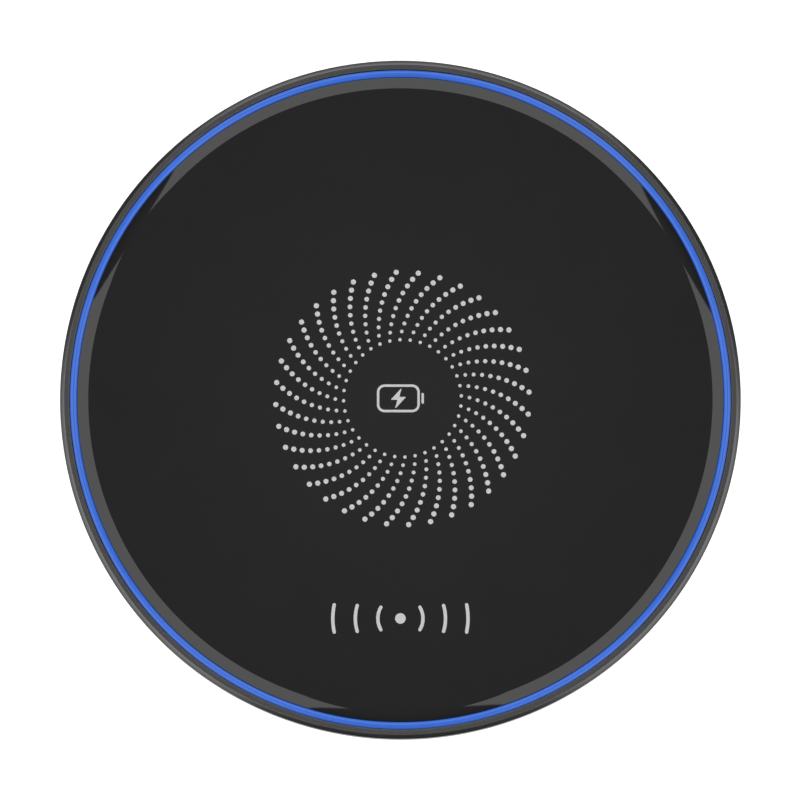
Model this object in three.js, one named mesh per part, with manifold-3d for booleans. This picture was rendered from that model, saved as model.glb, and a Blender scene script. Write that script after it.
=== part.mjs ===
// A round wireless charging pad: black bevelled glass, a lit ring and a metal rim over a coil, a ring-shaped
// circuit board and a plastic cover. Millimetres, +Z up, origin at the middle of the foot's underside, and
// the lead's socket faces +Y. Nothing on the pad moves.

import * as THREE from 'three'
import { mergeVertices } from 'three/addons/utils/BufferGeometryUtils.js'
import Module from 'manifold-3d'

const wasm = await Module()
wasm.setup()

// Driving dimensions

const PAD_R = 50 // widest, at the rim
const PAD_H = 8 // foot to glass
const ROUND = 60 // steps round the large rings
const ROUND_SMALL = 40 // steps round the coil and what lies under it
const ROUND_HOLE = 16 // steps round screws and their holes
const PAST = 1 // how far a cutting shape runs past what it cuts
const SUNK = 0.4 // how far a joined shape runs into what it joins
const TOUCH_GAP = 0.3 // beside a piece that fits a cut

// Glass
const PANEL_T = 1.8
const PANEL_R = 47.43
const PANEL_FLAT_R = 45.82
const BEVEL_DROP = 0.43
const BEVEL_MID_R = 46.66 // the bevel steepens outwards
const BEVEL_MID_DROP = 0.14
const BOND_IN_R = 42.5 // adhesive ring under the glass
const BOND_OUT_R = 46.9

// Lit ring
const LIGHT_IN_R = 47.55
const LIGHT_OUT_R = 48.53
const LIGHT_SHOULDER_Z = 7.62
const LIGHT_CROWN_Z = 7.8
const LIGHT_FOOT_R = 46.7
const LIGHT_FOOT_Z = 3.15
const LIGHT_FOOT_H = 1.65
const BEAD_FLANK = 0.26 // from the crown's middle to where its sides turn down
const BEAD_FLANK_LIFT = 0.13

// Rim
const RIM_IN_R = 48.62
const RIM_LAND_R = 49.25
const RIM_LAND_Z = 7.75
const RIM_FULL_LOW_Z = 4.2 // the wall is full width between these two heights
const RIM_FULL_HIGH_Z = 7
const RIM_BASE_Z = 0.9
const RIM_BASE_R = 48.9
const RIM_MOUTH_R = 48.1
const LEDGE_R = 46.8
const LEDGE_LOW_Z = 2
const LEDGE_HIGH_Z = 3.1

// Bottom cover and foot
const COVER_R = 47.95
const COVER_BASE_Z = 0.6
const COVER_CHAMFER = 0.6
const COVER_FLOOR_Z = 1.9
const GROOVE_Z = 1.1
const GROOVE_IN_R = 31.2
const GROOVE_OUT_R = 38.8
const FOOT_T = 1
const FOOT_ROUND = 0.25

// Circuit board
const BOARD_Z = 2.4
const BOARD_T = 1
const BOARD_IN_R = 27
const BOARD_OUT_R = 46.2
const BOARD_TOP = BOARD_Z + BOARD_T
const RAIL_W = 1 // the cover's two rings that carry the board
const RAIL_GAP = 0.05
const RAIL_INSET = 0.4 // the inner rail stands in from the board's inner edge

// Screws
const SCREW_PLACE_R = 35
const SCREW_ANGLES = [45, 135, 225, 315]
const SCREW_R = 1
const SCREW_HEAD_R = 1.85
const SCREW_HEAD_T = 0.7
const SCREW_TIP_Z = 5
const SCREW_HEAD_Z = 1.12
const HEAD_ROUND = 0.25
const TIP_TAPER = 0.4
const CROSS_REACH = 1
const CROSS_HALF = 0.2
const CROSS_DEPTH = 0.45
const COUNTERBORE_R = 2.1
const COUNTERBORE_Z = 1.85
const COVER_BOSS_R = 2.9
const THREAD_ROOM = 0.1 // round the screw in the mid frame
const COVER_ROOM = 0.2
const BOARD_ROOM = 0.25

// Mid frame
const FLANGE_IN_R = 43.6
const FLANGE_OUT_R = 47.2
const FLANGE_Z = 5.2
const FRAME_TOP = 6.05
const WELL_IN_R = 25.3
const WELL_T = 1
const WELL_LIP_IN_R = 24
const WELL_LIP_Z = 3
const WELL_LIP_T = 0.65
const SPOKE_W = 5
const SPOKE_T = 0.7
const SPOKE_ANGLES = [0, 45, 135, 180, 225, 315]
const FRAME_BOSS_R = 2.4
const PILOT_TOP = 5.2

// Coil stack
const FERRITE_R = 25
const FERRITE_Z = 3.75
const FERRITE_T = 0.9
const FILM_T = 0.1
const COIL_TURNS = 10
const COIL_IN_R = 10.25
const COIL_PITCH = 1.125
const COIL_T = 1.2
const COIL_VALLEY = 0.35 // how deep the turns' tops dip between them
const COIL_Z = FERRITE_Z + FERRITE_T + FILM_T
const COIL_OUT_R = COIL_IN_R + COIL_TURNS * COIL_PITCH
const FOAM_R = 17
const FOAM_GAP = 0.05
const LEAD_R = 0.45
const LEAD_X = 2.2
const LEAD_END_Y = 30.5
const LEAD_SLOT_W = 1.7
const LEAD_SLOT_Y = 7
const WELL_GAP_HALF = 3.8 // half the gap left for the leads in the well's wall

// Socket for the lead
const SHELL_W = 8.94
const SHELL_H = 3.2
const SHELL_T = 0.3
const SHELL_BACK_Y = 41.9
const SHELL_FRONT_Y = 49.2
const SHELL_Z = 4.1 // its middle
const SLOT_W = 9.5
const SLOT_H = 3.75
const TONGUE_W = 6.69
const TONGUE_T = 0.7
const TONGUE_FRONT_Y = 48.6
const TONGUE_BASE_Y = 43.4
const TONGUE_FIT = 0.06 // round the tongue's base, inside the shell
const RING_GAP_HALF = 5.6 // half the gap left for the socket in the lit ring
const FRAME_GAP_HALF = 5.4
const BOARD_GAP = 0.35

// On the board: sizes are across, along the radius and up, and places are radius and degrees
const LED_COUNT = 8
const LED_FIRST = 22.5
const LED_R = 45.5
const LED_SIZE = [2.8, 1, 1.1]
const CAP_SIZE = [3.2, 2.5, 1.8]
const CAP_ROW = [30.9, 34.3, 37.7, 41.1]
const CAP_ANGLE = 22.5
const BYPASS_SIZE = [2, 1.25, 1.1]
const BYPASS_PLACES = [[30.6, 66], [30.6, 71], [33, 101.5], [36, 101.5]]
const LARGE_PACKAGES = [
  { name: 'controller_chip', size: [6, 6, 0.9], finish: 'chip', at: [35.5, 113] },
  { name: 'bridge_chip', size: [5, 5, 0.9], finish: 'chip', at: [35.5, 67] },
  { name: 'protocol_chip', size: [3, 3, 1], finish: 'chip', at: [42, 117] },
  { name: 'power_inductor', size: [6.2, 6.2, 2.2], corner: 1, finish: 'inductor', at: [36, 157.5] },
  { name: 'input_cap', size: [3.5, 2.8, 1.9], finish: 'tantalum', at: [41.8, 75] },
  { name: 'crystal', size: [3.2, 2.5, 0.75], finish: 'crystal', at: [30.3, 112] },
  { name: 'sense_resistor', size: [3.2, 1.6, 0.6], finish: 'chip', at: [41.5, 65] },
  { name: 'thermistor', size: [1.6, 0.8, 0.7], finish: 'ceramic', at: [29, 97] },
]

// Closed bodies

function signedVolume(geometry) {
  const p = geometry.attributes.position
  const a = new THREE.Vector3()
  const b = new THREE.Vector3()
  const c = new THREE.Vector3()
  let six = 0
  for (let i = 0; i < geometry.index.count; i += 3) {
    a.fromBufferAttribute(p, geometry.index.getX(i))
    b.fromBufferAttribute(p, geometry.index.getX(i + 1))
    c.fromBufferAttribute(p, geometry.index.getX(i + 2))
    six += a.dot(b.cross(c))
  }
  return six / 6
}

// One closed body with shared vertices and outward faces, from any three.js geometry.
function closed(source) {
  const bare = source.clone()
  bare.deleteAttribute('normal')
  bare.deleteAttribute('uv')
  const merged = mergeVertices(bare, 1e-4)
  const kept = []
  for (let i = 0; i < merged.index.count; i += 3) {
    const corners = [0, 1, 2].map((k) => merged.index.getX(i + k))
    if (new Set(corners).size === 3) kept.push(...corners)
  }
  merged.setIndex(kept)
  if (signedVolume(merged) < 0) merged.setIndex(kept.reverse())
  return merged
}

function solid(geometry) {
  const body = closed(geometry)
  const mesh = new wasm.Mesh({
    numProp: 3,
    vertProperties: new Float32Array(body.attributes.position.array),
    triVerts: new Uint32Array(body.index.array),
  })
  return new wasm.Manifold(mesh)
}

function surface(manifold) {
  const mesh = manifold.getMesh()
  const geometry = new THREE.BufferGeometry()
  geometry.setAttribute('position', new THREE.BufferAttribute(mesh.vertProperties, 3))
  geometry.setIndex(new THREE.BufferAttribute(mesh.triVerts, 1))
  return geometry
}

// The first geometry with the others joined to it.
function joined(first, ...others) {
  return surface(others.reduce((sum, g) => sum.add(solid(g)), solid(first)))
}

// The first geometry with the others cut out of it.
function cut(first, ...others) {
  return surface(others.reduce((rest, g) => rest.subtract(solid(g)), solid(first)))
}

// Basic shapes

// A body turned about Z from a list of [radius, height]; the outline closes itself.
function turned(outline, steps = ROUND) {
  const points = [...outline, outline[0]].map(([r, z]) => new THREE.Vector2(r, z))
  return closed(new THREE.LatheGeometry(points, steps).rotateX(Math.PI / 2))
}

function ring(inner, outer, low, high, steps = ROUND) {
  return turned([[inner, low], [outer, low], [outer, high], [inner, high]], steps)
}

function rod(r, low, high, x = 0, y = 0, steps = ROUND_HOLE) {
  return turned([[0, low], [r, low], [r, high], [0, high]], steps).translate(x, y, 0)
}

// A block between two corners.
function block([x0, y0, z0], [x1, y1, z1]) {
  const box = new THREE.BoxGeometry(x1 - x0, y1 - y0, z1 - z0)
  return closed(box.translate((x0 + x1) / 2, (y0 + y1) / 2, (z0 + z1) / 2))
}

function polar(radius, degrees) {
  const angle = THREE.MathUtils.degToRad(degrees)
  return [radius * Math.cos(angle), radius * Math.sin(angle)]
}

// The middle of the quarter ellipse from one point to another, leaving the first one vertically.
function quarterEllipse([r0, z0], [r1, z1], steps) {
  const inner = Array.from({ length: steps - 1 }, (_, i) => ((i + 1) / steps) * (Math.PI / 2))
  return inner.map((t) => [r1 + (r0 - r1) * Math.cos(t), z0 + (z1 - z0) * Math.sin(t)])
}

// A flat oval with round ends, in X and Y.
function oval(width, height, shape = new THREE.Shape()) {
  const end = height / 2
  const x = width / 2 - end
  shape.moveTo(-x, -end)
  shape.lineTo(x, -end)
  shape.absarc(x, 0, end, -Math.PI / 2, Math.PI / 2, false)
  shape.lineTo(-x, end)
  shape.absarc(-x, 0, end, Math.PI / 2, Math.PI * 1.5, false)
  return shape
}

// A flat outline pushed along Y between two places, with the outline's middle at the socket's height.
function alongY(shape, back, front) {
  const bar = new THREE.ExtrudeGeometry(shape, { depth: front - back, bevelEnabled: false, curveSegments: 6 })
  return closed(bar.rotateX(Math.PI / 2).translate(0, front, SHELL_Z))
}

// Glass

function topPanel() {
  const low = PAD_H - PANEL_T
  return turned([
    [0, low],
    [PANEL_R, low],
    [PANEL_R, PAD_H - BEVEL_DROP],
    [BEVEL_MID_R, PAD_H - BEVEL_MID_DROP],
    [PANEL_FLAT_R, PAD_H],
    [0, PAD_H],
  ])
}

function panelAdhesive() {
  return ring(BOND_IN_R, BOND_OUT_R, FRAME_TOP, PAD_H - PANEL_T)
}

// Lit ring: a bead on a skirt whose foot reaches in towards the lights

function lightRing() {
  const crownR = (LIGHT_IN_R + LIGHT_OUT_R) / 2
  const flankZ = LIGHT_SHOULDER_Z + BEAD_FLANK_LIFT
  const gapTop = SHELL_Z + SLOT_H / 2 + TOUCH_GAP
  const body = turned([
    [LIGHT_FOOT_R, LIGHT_FOOT_Z],
    [LIGHT_OUT_R, LIGHT_FOOT_Z],
    [LIGHT_OUT_R, LIGHT_SHOULDER_Z],
    [crownR + BEAD_FLANK, flankZ],
    [crownR, LIGHT_CROWN_Z],
    [crownR - BEAD_FLANK, flankZ],
    [LIGHT_IN_R, LIGHT_SHOULDER_Z],
    [LIGHT_IN_R, LIGHT_FOOT_Z + LIGHT_FOOT_H],
    [LIGHT_FOOT_R, LIGHT_FOOT_Z + LIGHT_FOOT_H],
  ])
  const inside = [-RING_GAP_HALF, LIGHT_FOOT_R - PAST, LIGHT_FOOT_Z - PAST]
  const socketGap = block(inside, [RING_GAP_HALF, PAD_R, gapTop])
  return cut(body, socketGap)
}

// Rim with its inner ledge and the socket's slot

function outerRim() {
  const body = turned([
    [RIM_IN_R, LEDGE_HIGH_Z],
    [LEDGE_R, LEDGE_HIGH_Z],
    [LEDGE_R, LEDGE_LOW_Z],
    [RIM_MOUTH_R, LEDGE_LOW_Z],
    [RIM_MOUTH_R, RIM_BASE_Z],
    [RIM_BASE_R, RIM_BASE_Z],
    ...quarterEllipse([PAD_R, RIM_FULL_LOW_Z], [RIM_BASE_R, RIM_BASE_Z], 4).reverse(),
    [PAD_R, RIM_FULL_LOW_Z],
    [PAD_R, RIM_FULL_HIGH_Z],
    ...quarterEllipse([PAD_R, RIM_FULL_HIGH_Z], [RIM_LAND_R, RIM_LAND_Z], 3),
    [RIM_LAND_R, RIM_LAND_Z],
    [RIM_IN_R, RIM_LAND_Z],
  ])
  return cut(body, alongY(oval(SLOT_W, SLOT_H), LEDGE_R - PAST, PAD_R + PAST))
}

// Bottom cover: outside edge, foot groove, board rails and screw bosses

function bottomCover() {
  const plate = turned([
    [0, COVER_BASE_Z],
    [GROOVE_IN_R, COVER_BASE_Z],
    [GROOVE_IN_R, GROOVE_Z],
    [GROOVE_OUT_R, GROOVE_Z],
    [GROOVE_OUT_R, COVER_BASE_Z],
    [COVER_R - COVER_CHAMFER, COVER_BASE_Z],
    [COVER_R, COVER_BASE_Z + COVER_CHAMFER],
    [COVER_R, COVER_FLOOR_Z],
    [0, COVER_FLOOR_Z],
  ])
  const into = COVER_FLOOR_Z - SUNK
  const railTop = BOARD_Z - RAIL_GAP
  const railR = BOARD_IN_R + RAIL_INSET
  const outerRail = ring(BOARD_OUT_R - RAIL_W, BOARD_OUT_R, into, railTop)
  const innerRail = ring(railR, railR + RAIL_W, into, railTop)
  const places = SCREW_ANGLES.map((angle) => polar(SCREW_PLACE_R, angle))
  const bosses = places.map(([x, y]) => rod(COVER_BOSS_R, into, railTop, x, y))
  const heads = places.map(([x, y]) => rod(COUNTERBORE_R, GROOVE_Z - PAST, COUNTERBORE_Z, x, y))
  const holes = places.map(([x, y]) => rod(SCREW_R + COVER_ROOM, GROOVE_Z, BOARD_Z + PAST, x, y))
  return cut(joined(plate, outerRail, innerRail, ...bosses), ...heads, ...holes)
}

function footRing() {
  const inner = GROOVE_IN_R + TOUCH_GAP
  const outer = GROOVE_OUT_R - TOUCH_GAP
  return turned([
    [inner + FOOT_ROUND, 0],
    [outer - FOOT_ROUND, 0],
    [outer, FOOT_ROUND],
    [outer, FOOT_T],
    [inner, FOOT_T],
    [inner, FOOT_ROUND],
  ])
}

function footAdhesive() {
  return ring(GROOVE_IN_R + 2 * TOUCH_GAP, GROOVE_OUT_R - 2 * TOUCH_GAP, FOOT_T, GROOVE_Z)
}

// A pan-head screw pointing up, with a cross in its head
function coverScrew() {
  const neck = SCREW_HEAD_Z + SCREW_HEAD_T
  const body = turned(
    [
      [0, SCREW_HEAD_Z],
      [SCREW_HEAD_R - HEAD_ROUND, SCREW_HEAD_Z],
      [SCREW_HEAD_R, SCREW_HEAD_Z + HEAD_ROUND],
      [SCREW_HEAD_R, neck],
      [SCREW_R, neck],
      [SCREW_R, SCREW_TIP_Z - TIP_TAPER],
      [SCREW_R - TIP_TAPER, SCREW_TIP_Z],
      [0, SCREW_TIP_Z],
    ],
    ROUND_HOLE,
  )
  const deep = SCREW_HEAD_Z + CROSS_DEPTH
  const alongX = block([-CROSS_REACH, -CROSS_HALF, 0], [CROSS_REACH, CROSS_HALF, deep])
  const acrossX = block([-CROSS_HALF, -CROSS_REACH, 0], [CROSS_HALF, CROSS_REACH, deep])
  return cut(body, alongX, acrossX)
}

// Mid frame: a flange under the glass, the coil's well, spokes and screw bosses

function midFrame() {
  const flange = ring(FLANGE_IN_R, FLANGE_OUT_R, FLANGE_Z, FRAME_TOP)
  const well = turned([
    [WELL_LIP_IN_R, WELL_LIP_Z],
    [WELL_IN_R + WELL_T, WELL_LIP_Z],
    [WELL_IN_R + WELL_T, FRAME_TOP],
    [WELL_IN_R, FRAME_TOP],
    [WELL_IN_R, WELL_LIP_Z + WELL_LIP_T],
    [WELL_LIP_IN_R, WELL_LIP_Z + WELL_LIP_T],
  ])
  const half = SPOKE_W / 2
  const spokes = SPOKE_ANGLES.map((angle) => {
    const near = [WELL_IN_R + SUNK, -half, FRAME_TOP - SPOKE_T]
    const far = [FLANGE_IN_R + SUNK, half, FRAME_TOP]
    return block(near, far).rotateZ(THREE.MathUtils.degToRad(angle))
  })
  const places = SCREW_ANGLES.map((angle) => polar(SCREW_PLACE_R, angle))
  const bosses = places.map(([x, y]) => rod(FRAME_BOSS_R, BOARD_TOP, FRAME_TOP - SPOKE_T / 2, x, y))
  const pilots = places.map(([x, y]) => rod(SCREW_R + THREAD_ROOM, BOARD_TOP - PAST, PILOT_TOP, x, y))
  const over = FRAME_TOP + PAST
  const socketLow = [-FRAME_GAP_HALF, SHELL_BACK_Y - TOUCH_GAP, FLANGE_Z - PAST]
  const socketGap = block(socketLow, [FRAME_GAP_HALF, PAD_R, over])
  const leadLow = [-WELL_GAP_HALF, WELL_LIP_IN_R - PAST, WELL_LIP_Z + WELL_LIP_T]
  const leadGap = block(leadLow, [WELL_GAP_HALF, WELL_IN_R + WELL_T + PAST, over])
  return cut(joined(flange, well, ...spokes, ...bosses), ...pilots, socketGap, leadGap)
}

// Coil stack

// The notch that lets the inner lead out under the coil
function leadNotch() {
  const half = LEAD_SLOT_W / 2
  const far = [LEAD_X + half, FERRITE_R + PAST, COIL_Z + PAST]
  return block([LEAD_X - half, LEAD_SLOT_Y, FERRITE_Z - PAST], far)
}

function ferriteDisc() {
  const top = FERRITE_Z + FERRITE_T
  return cut(turned([[0, FERRITE_Z], [FERRITE_R, FERRITE_Z], [FERRITE_R, top], [0, top]], ROUND), leadNotch())
}

function coilAdhesive() {
  return cut(ring(COIL_IN_R, COIL_OUT_R, COIL_Z - FILM_T, COIL_Z, ROUND_SMALL), leadNotch())
}

// Ten turns of wire side by side: round crests with valleys between them
function chargingCoil() {
  const crest = COIL_Z + COIL_T
  const valley = crest - COIL_VALLEY
  const outline = [[COIL_IN_R, COIL_Z], [COIL_OUT_R, COIL_Z], [COIL_OUT_R, valley]]
  for (let turn = COIL_TURNS - 1; turn >= 0; turn -= 1) {
    const inner = COIL_IN_R + turn * COIL_PITCH
    outline.push([inner + COIL_PITCH / 2, crest])
    outline.push([inner, valley])
  }
  return turned(outline, ROUND_SMALL)
}

function foamPad() {
  return rod(FOAM_R, COVER_FLOOR_Z, FERRITE_Z - FOAM_GAP, 0, 0, ROUND_SMALL)
}

// A round wire through a list of [x, y, z]
function wire(places) {
  const route = new THREE.CatmullRomCurve3(places.map((p) => new THREE.Vector3(...p)))
  const section = new THREE.Shape().absarc(0, 0, LEAD_R, 0, Math.PI * 2, false)
  return closed(new THREE.ExtrudeGeometry(section, { extrudePath: route, steps: 20, curveSegments: 4 }))
}

function coilLeadInner() {
  return wire([
    [LEAD_X, 8.1, 5.35],
    [LEAD_X, 8.35, 4.75],
    [LEAD_X, 9.1, 4.3],
    [LEAD_X, 12, 4.25],
    [LEAD_X, 22, 4.25],
    [LEAD_X, 26.5, 4.2],
    [LEAD_X, 28.6, 3.95],
    [LEAD_X, LEAD_END_Y, 3.88],
  ])
}

function coilLeadOuter() {
  return wire([
    [-LEAD_X, COIL_OUT_R + 0.25, 5.3],
    [-LEAD_X, 24, 5.28],
    [-LEAD_X, 26, 4.95],
    [-LEAD_X, 28.2, 4.15],
    [-LEAD_X, LEAD_END_Y, 3.88],
  ])
}

// Circuit board and what is soldered to it

function circuitBoard() {
  const holes = SCREW_ANGLES.map((angle) => {
    const [x, y] = polar(SCREW_PLACE_R, angle)
    return rod(SCREW_R + BOARD_ROOM, BOARD_Z - PAST, BOARD_TOP + PAST, x, y)
  })
  const half = SHELL_W / 2 + BOARD_GAP
  const gapLow = [-half, SHELL_BACK_Y - BOARD_GAP, BOARD_Z - PAST]
  const socketGap = block(gapLow, [half, PAD_R, BOARD_TOP + PAST])
  return cut(ring(BOARD_IN_R, BOARD_OUT_R, BOARD_Z, BOARD_TOP), ...holes, socketGap)
}

function usbShell() {
  const outline = oval(SHELL_W, SHELL_H)
  outline.holes.push(oval(SHELL_W - 2 * SHELL_T, SHELL_H - 2 * SHELL_T, new THREE.Path()))
  return alongY(outline, SHELL_BACK_Y, SHELL_FRONT_Y)
}

function usbTongue() {
  const clear = SHELL_T + TONGUE_FIT
  const section = oval(SHELL_W - 2 * clear, SHELL_H - 2 * clear)
  const base = alongY(section, SHELL_BACK_Y + FILM_T, TONGUE_BASE_Y)
  const low = SHELL_Z - TONGUE_T / 2
  const half = TONGUE_W / 2
  const blade = block([-half, TONGUE_BASE_Y - SUNK, low], [half, TONGUE_FRONT_Y, low + TONGUE_T])
  return joined(base, blade)
}

// A package standing on the board, its four upright edges cut off at the corners.
function packaged([width, depth, high], corner) {
  const x = width / 2
  const y = depth / 2
  const half = [[x, y - corner], [x - corner, y], [corner - x, y], [-x, y - corner]]
  const outline = [...half, ...half.map(([px, py]) => [-px, -py])]
  const shape = new THREE.Shape(outline.map(([px, py]) => new THREE.Vector2(px, py)))
  return closed(new THREE.ExtrudeGeometry(shape, { depth: high, bevelEnabled: false }))
}

// The group

const pad = new THREE.Group()

const FINISHES = {
  glass: { color: 0x0b0b0c, roughness: 0.05, metalness: 0 },
  light: { color: 0x3868cc, roughness: 0.2, metalness: 0, emissive: 0x2450b8 },
  rim: { color: 0x46474a, roughness: 0.35, metalness: 1 },
  cover: { color: 0x1a1a1c, roughness: 0.6, metalness: 0 },
  silicone: { color: 0x242426, roughness: 0.8, metalness: 0 },
  adhesive: { color: 0xd8d6cc, roughness: 0.7, metalness: 0 },
  steel: { color: 0xb4b6b8, roughness: 0.3, metalness: 1 },
  frame: { color: 0x202124, roughness: 0.55, metalness: 0 },
  ferrite: { color: 0x3a3a3c, roughness: 0.75, metalness: 0 },
  copper: { color: 0xb56a3a, roughness: 0.4, metalness: 1 },
  foam: { color: 0x2c2c2e, roughness: 0.95, metalness: 0 },
  board: { color: 0x14532d, roughness: 0.4, metalness: 0 },
  tongue: { color: 0x121214, roughness: 0.5, metalness: 0 },
  chip: { color: 0x17181a, roughness: 0.6, metalness: 0 },
  inductor: { color: 0x4a4a4c, roughness: 0.7, metalness: 0 },
  ceramic: { color: 0xa8835a, roughness: 0.5, metalness: 0 },
  tantalum: { color: 0xc9962a, roughness: 0.5, metalness: 0 },
  crystal: { color: 0xc8c9ca, roughness: 0.25, metalness: 1 },
  lamp: { color: 0xf0ead6, roughness: 0.4, metalness: 0 },
}

function add(name, geometry, finish) {
  const mesh = new THREE.Mesh(geometry, new THREE.MeshStandardMaterial(FINISHES[finish]))
  mesh.name = name
  pad.add(mesh)
  return mesh
}

// Puts a package on the board at a radius and an angle, turned to follow the board.
function solder({ name, size, corner = 0.1, finish, at: [radius, degrees] }) {
  const [x, y] = polar(radius, degrees)
  const mesh = add(name, packaged(size, corner), finish)
  mesh.position.set(x, y, BOARD_TOP)
  mesh.rotation.z = THREE.MathUtils.degToRad(degrees - 90)
}

add('top_panel', topPanel(), 'glass')
add('panel_adhesive', panelAdhesive(), 'adhesive')
add('light_ring', lightRing(), 'light')
add('outer_rim', outerRim(), 'rim')
add('mid_frame', midFrame(), 'frame')
add('bottom_cover', bottomCover(), 'cover')
add('foot_ring', footRing(), 'silicone')
add('foot_adhesive', footAdhesive(), 'adhesive')

SCREW_ANGLES.forEach((angle, i) => {
  const [x, y] = polar(SCREW_PLACE_R, angle)
  add(`cover_screw_${i + 1}`, coverScrew(), 'steel').position.set(x, y, 0)
})

add('charging_coil', chargingCoil(), 'copper')
add('coil_adhesive', coilAdhesive(), 'adhesive')
add('ferrite_disc', ferriteDisc(), 'ferrite')
add('foam_pad', foamPad(), 'foam')
add('coil_lead_inner', coilLeadInner(), 'copper')
add('coil_lead_outer', coilLeadOuter(), 'copper')

add('circuit_board', circuitBoard(), 'board')
add('usb_shell', usbShell(), 'steel')
add('usb_tongue', usbTongue(), 'tongue')

LARGE_PACKAGES.forEach(solder)
CAP_ROW.forEach((radius, i) => {
  solder({ name: `resonance_cap_${i + 1}`, size: CAP_SIZE, finish: 'ceramic', at: [radius, CAP_ANGLE] })
})
BYPASS_PLACES.forEach((at, i) => {
  solder({ name: `bypass_cap_${i + 1}`, size: BYPASS_SIZE, finish: 'ceramic', at })
})
for (let i = 0; i < LED_COUNT; i += 1) {
  const degrees = LED_FIRST + (i * 360) / LED_COUNT
  solder({ name: `side_led_${i + 1}`, size: LED_SIZE, finish: 'lamp', at: [LED_R, degrees] })
}

export default pad
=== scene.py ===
# %% [markdown]
# # A wireless charging pad
#
# A round pad about as wide as a hand: black glass with a swirl of printed dots, a thin ring that glows
# blue, and a dark metal rim. Under the glass lie a coil of copper wire, a ferrite disc and a ring-shaped
# circuit board. This file builds the looks of each piece round a CAD model that is already right in size,
# so every measure below is read from that model wherever it can be.

# %% Load the frame
import math
from itertools import accumulate

import bmesh
import bpy
from mathutils import Matrix, Vector


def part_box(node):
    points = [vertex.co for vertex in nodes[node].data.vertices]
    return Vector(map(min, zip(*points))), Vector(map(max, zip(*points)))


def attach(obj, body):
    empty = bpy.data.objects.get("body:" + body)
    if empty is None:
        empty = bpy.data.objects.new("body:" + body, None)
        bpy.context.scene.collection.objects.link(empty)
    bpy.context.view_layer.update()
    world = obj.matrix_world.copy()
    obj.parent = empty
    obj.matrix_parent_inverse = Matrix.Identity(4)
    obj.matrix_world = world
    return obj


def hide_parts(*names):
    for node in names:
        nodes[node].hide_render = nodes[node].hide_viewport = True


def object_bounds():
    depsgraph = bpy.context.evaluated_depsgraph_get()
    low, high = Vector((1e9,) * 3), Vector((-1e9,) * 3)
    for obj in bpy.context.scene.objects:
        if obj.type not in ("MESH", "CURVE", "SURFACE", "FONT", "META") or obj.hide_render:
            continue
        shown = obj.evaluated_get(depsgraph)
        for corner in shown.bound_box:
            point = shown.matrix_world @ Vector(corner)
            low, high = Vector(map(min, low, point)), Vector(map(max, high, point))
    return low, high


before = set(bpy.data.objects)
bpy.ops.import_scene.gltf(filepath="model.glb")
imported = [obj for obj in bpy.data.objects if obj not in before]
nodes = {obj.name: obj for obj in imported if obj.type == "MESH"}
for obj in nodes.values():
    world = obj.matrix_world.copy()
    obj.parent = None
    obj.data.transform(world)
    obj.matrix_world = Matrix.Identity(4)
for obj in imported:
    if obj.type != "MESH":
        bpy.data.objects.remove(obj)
cad_low, cad_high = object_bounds()
print(len(nodes), "nodes, box in metres:", [round(c, 4) for c in (*cad_low, *cad_high)])

# %% [markdown]
# ## Measures
#
# The pad is small, so all sizes below are in millimetres and become metres only when a mesh is made.
# Most pieces are turned about the upright axis. A turned CAD piece is fully told by the radius at each
# height, so one helper lists those, and the fine pieces take their outlines from the list.

# %% Read the CAD pieces' outlines
MM = 0.001


def levels(node):
    """Each height in a turned node, with the smallest and largest radius there, from the lowest up."""
    found = {}
    for vertex in nodes[node].data.vertices:
        height = round(vertex.co.z / MM, 2)
        radius = math.hypot(vertex.co.x, vertex.co.y) / MM
        small, large = found.get(height, (radius, radius))
        found[height] = (min(small, radius), max(large, radius))
    return [(height, *found[height]) for height in sorted(found)]


def box(node):
    """A CAD node's lowest and highest corner, in millimetres."""
    low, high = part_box(node)
    return low / MM, high / MM


GLASS = levels("top_panel")
LIGHT = levels("light_ring")
RIM = levels("outer_rim")
for title, rows in (("glass", GLASS), ("light ring", LIGHT), ("rim", RIM)):
    print(title, [tuple(round(value, 2) for value in row) for row in rows])

# %% [markdown]
# ## Making meshes
#
# Nearly everything here was made on a lathe, in a round mould or by pushing an outline through a die.
# So there are three mesh makers: one that turns an outline, one that raises a flat outline into a slab,
# and one that sweeps a section along a path. Sharp corners don't exist on real pieces, so an outline's
# corner may carry a third number, the radius it is rounded to. A small rounding catches a line of light
# and does more for a render than any texture.

# %% Outlines with rounded corners
def rounded(outline, steps=5, closed=True):
    """Replaces each (a, b, radius) corner of a flat outline with an arc of that radius."""
    points = []
    count = len(outline)
    for i, corner in enumerate(outline):
        here = Vector(corner[:2])
        radius = corner[2] if len(corner) > 2 else 0
        if not radius or (not closed and i in (0, count - 1)):
            points.append(here)
            continue
        back = (Vector(outline[i - 1][:2]) - here).normalized()
        on = (Vector(outline[(i + 1) % count][:2]) - here).normalized()
        half = back.angle(on) / 2
        reach = radius / math.tan(half)
        centre = here + (back + on).normalized() * (radius / math.sin(half))
        start, end = here + back * reach - centre, here + on * reach - centre
        sweep = start.angle_signed(end)
        for step in range(steps + 1):
            turn = Matrix.Rotation(-sweep * step / steps, 2)
            points.append(centre + turn @ start)
    return points


def oval(width, height, steps=12):
    """A flat oval with round ends, counter-clockwise."""
    end = height / 2
    straight = width / 2 - end
    points = []
    for side in (1, -1):
        for step in range(steps + 1):
            angle = math.pi * (step / steps - 0.5)
            points.append(Vector((side * (straight + end * math.cos(angle)), side * end * math.sin(angle))))
    return points


print("an oval has", len(oval(3, 1)), "points")


# %% Finishing a mesh
SHARP = math.radians(32)


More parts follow.
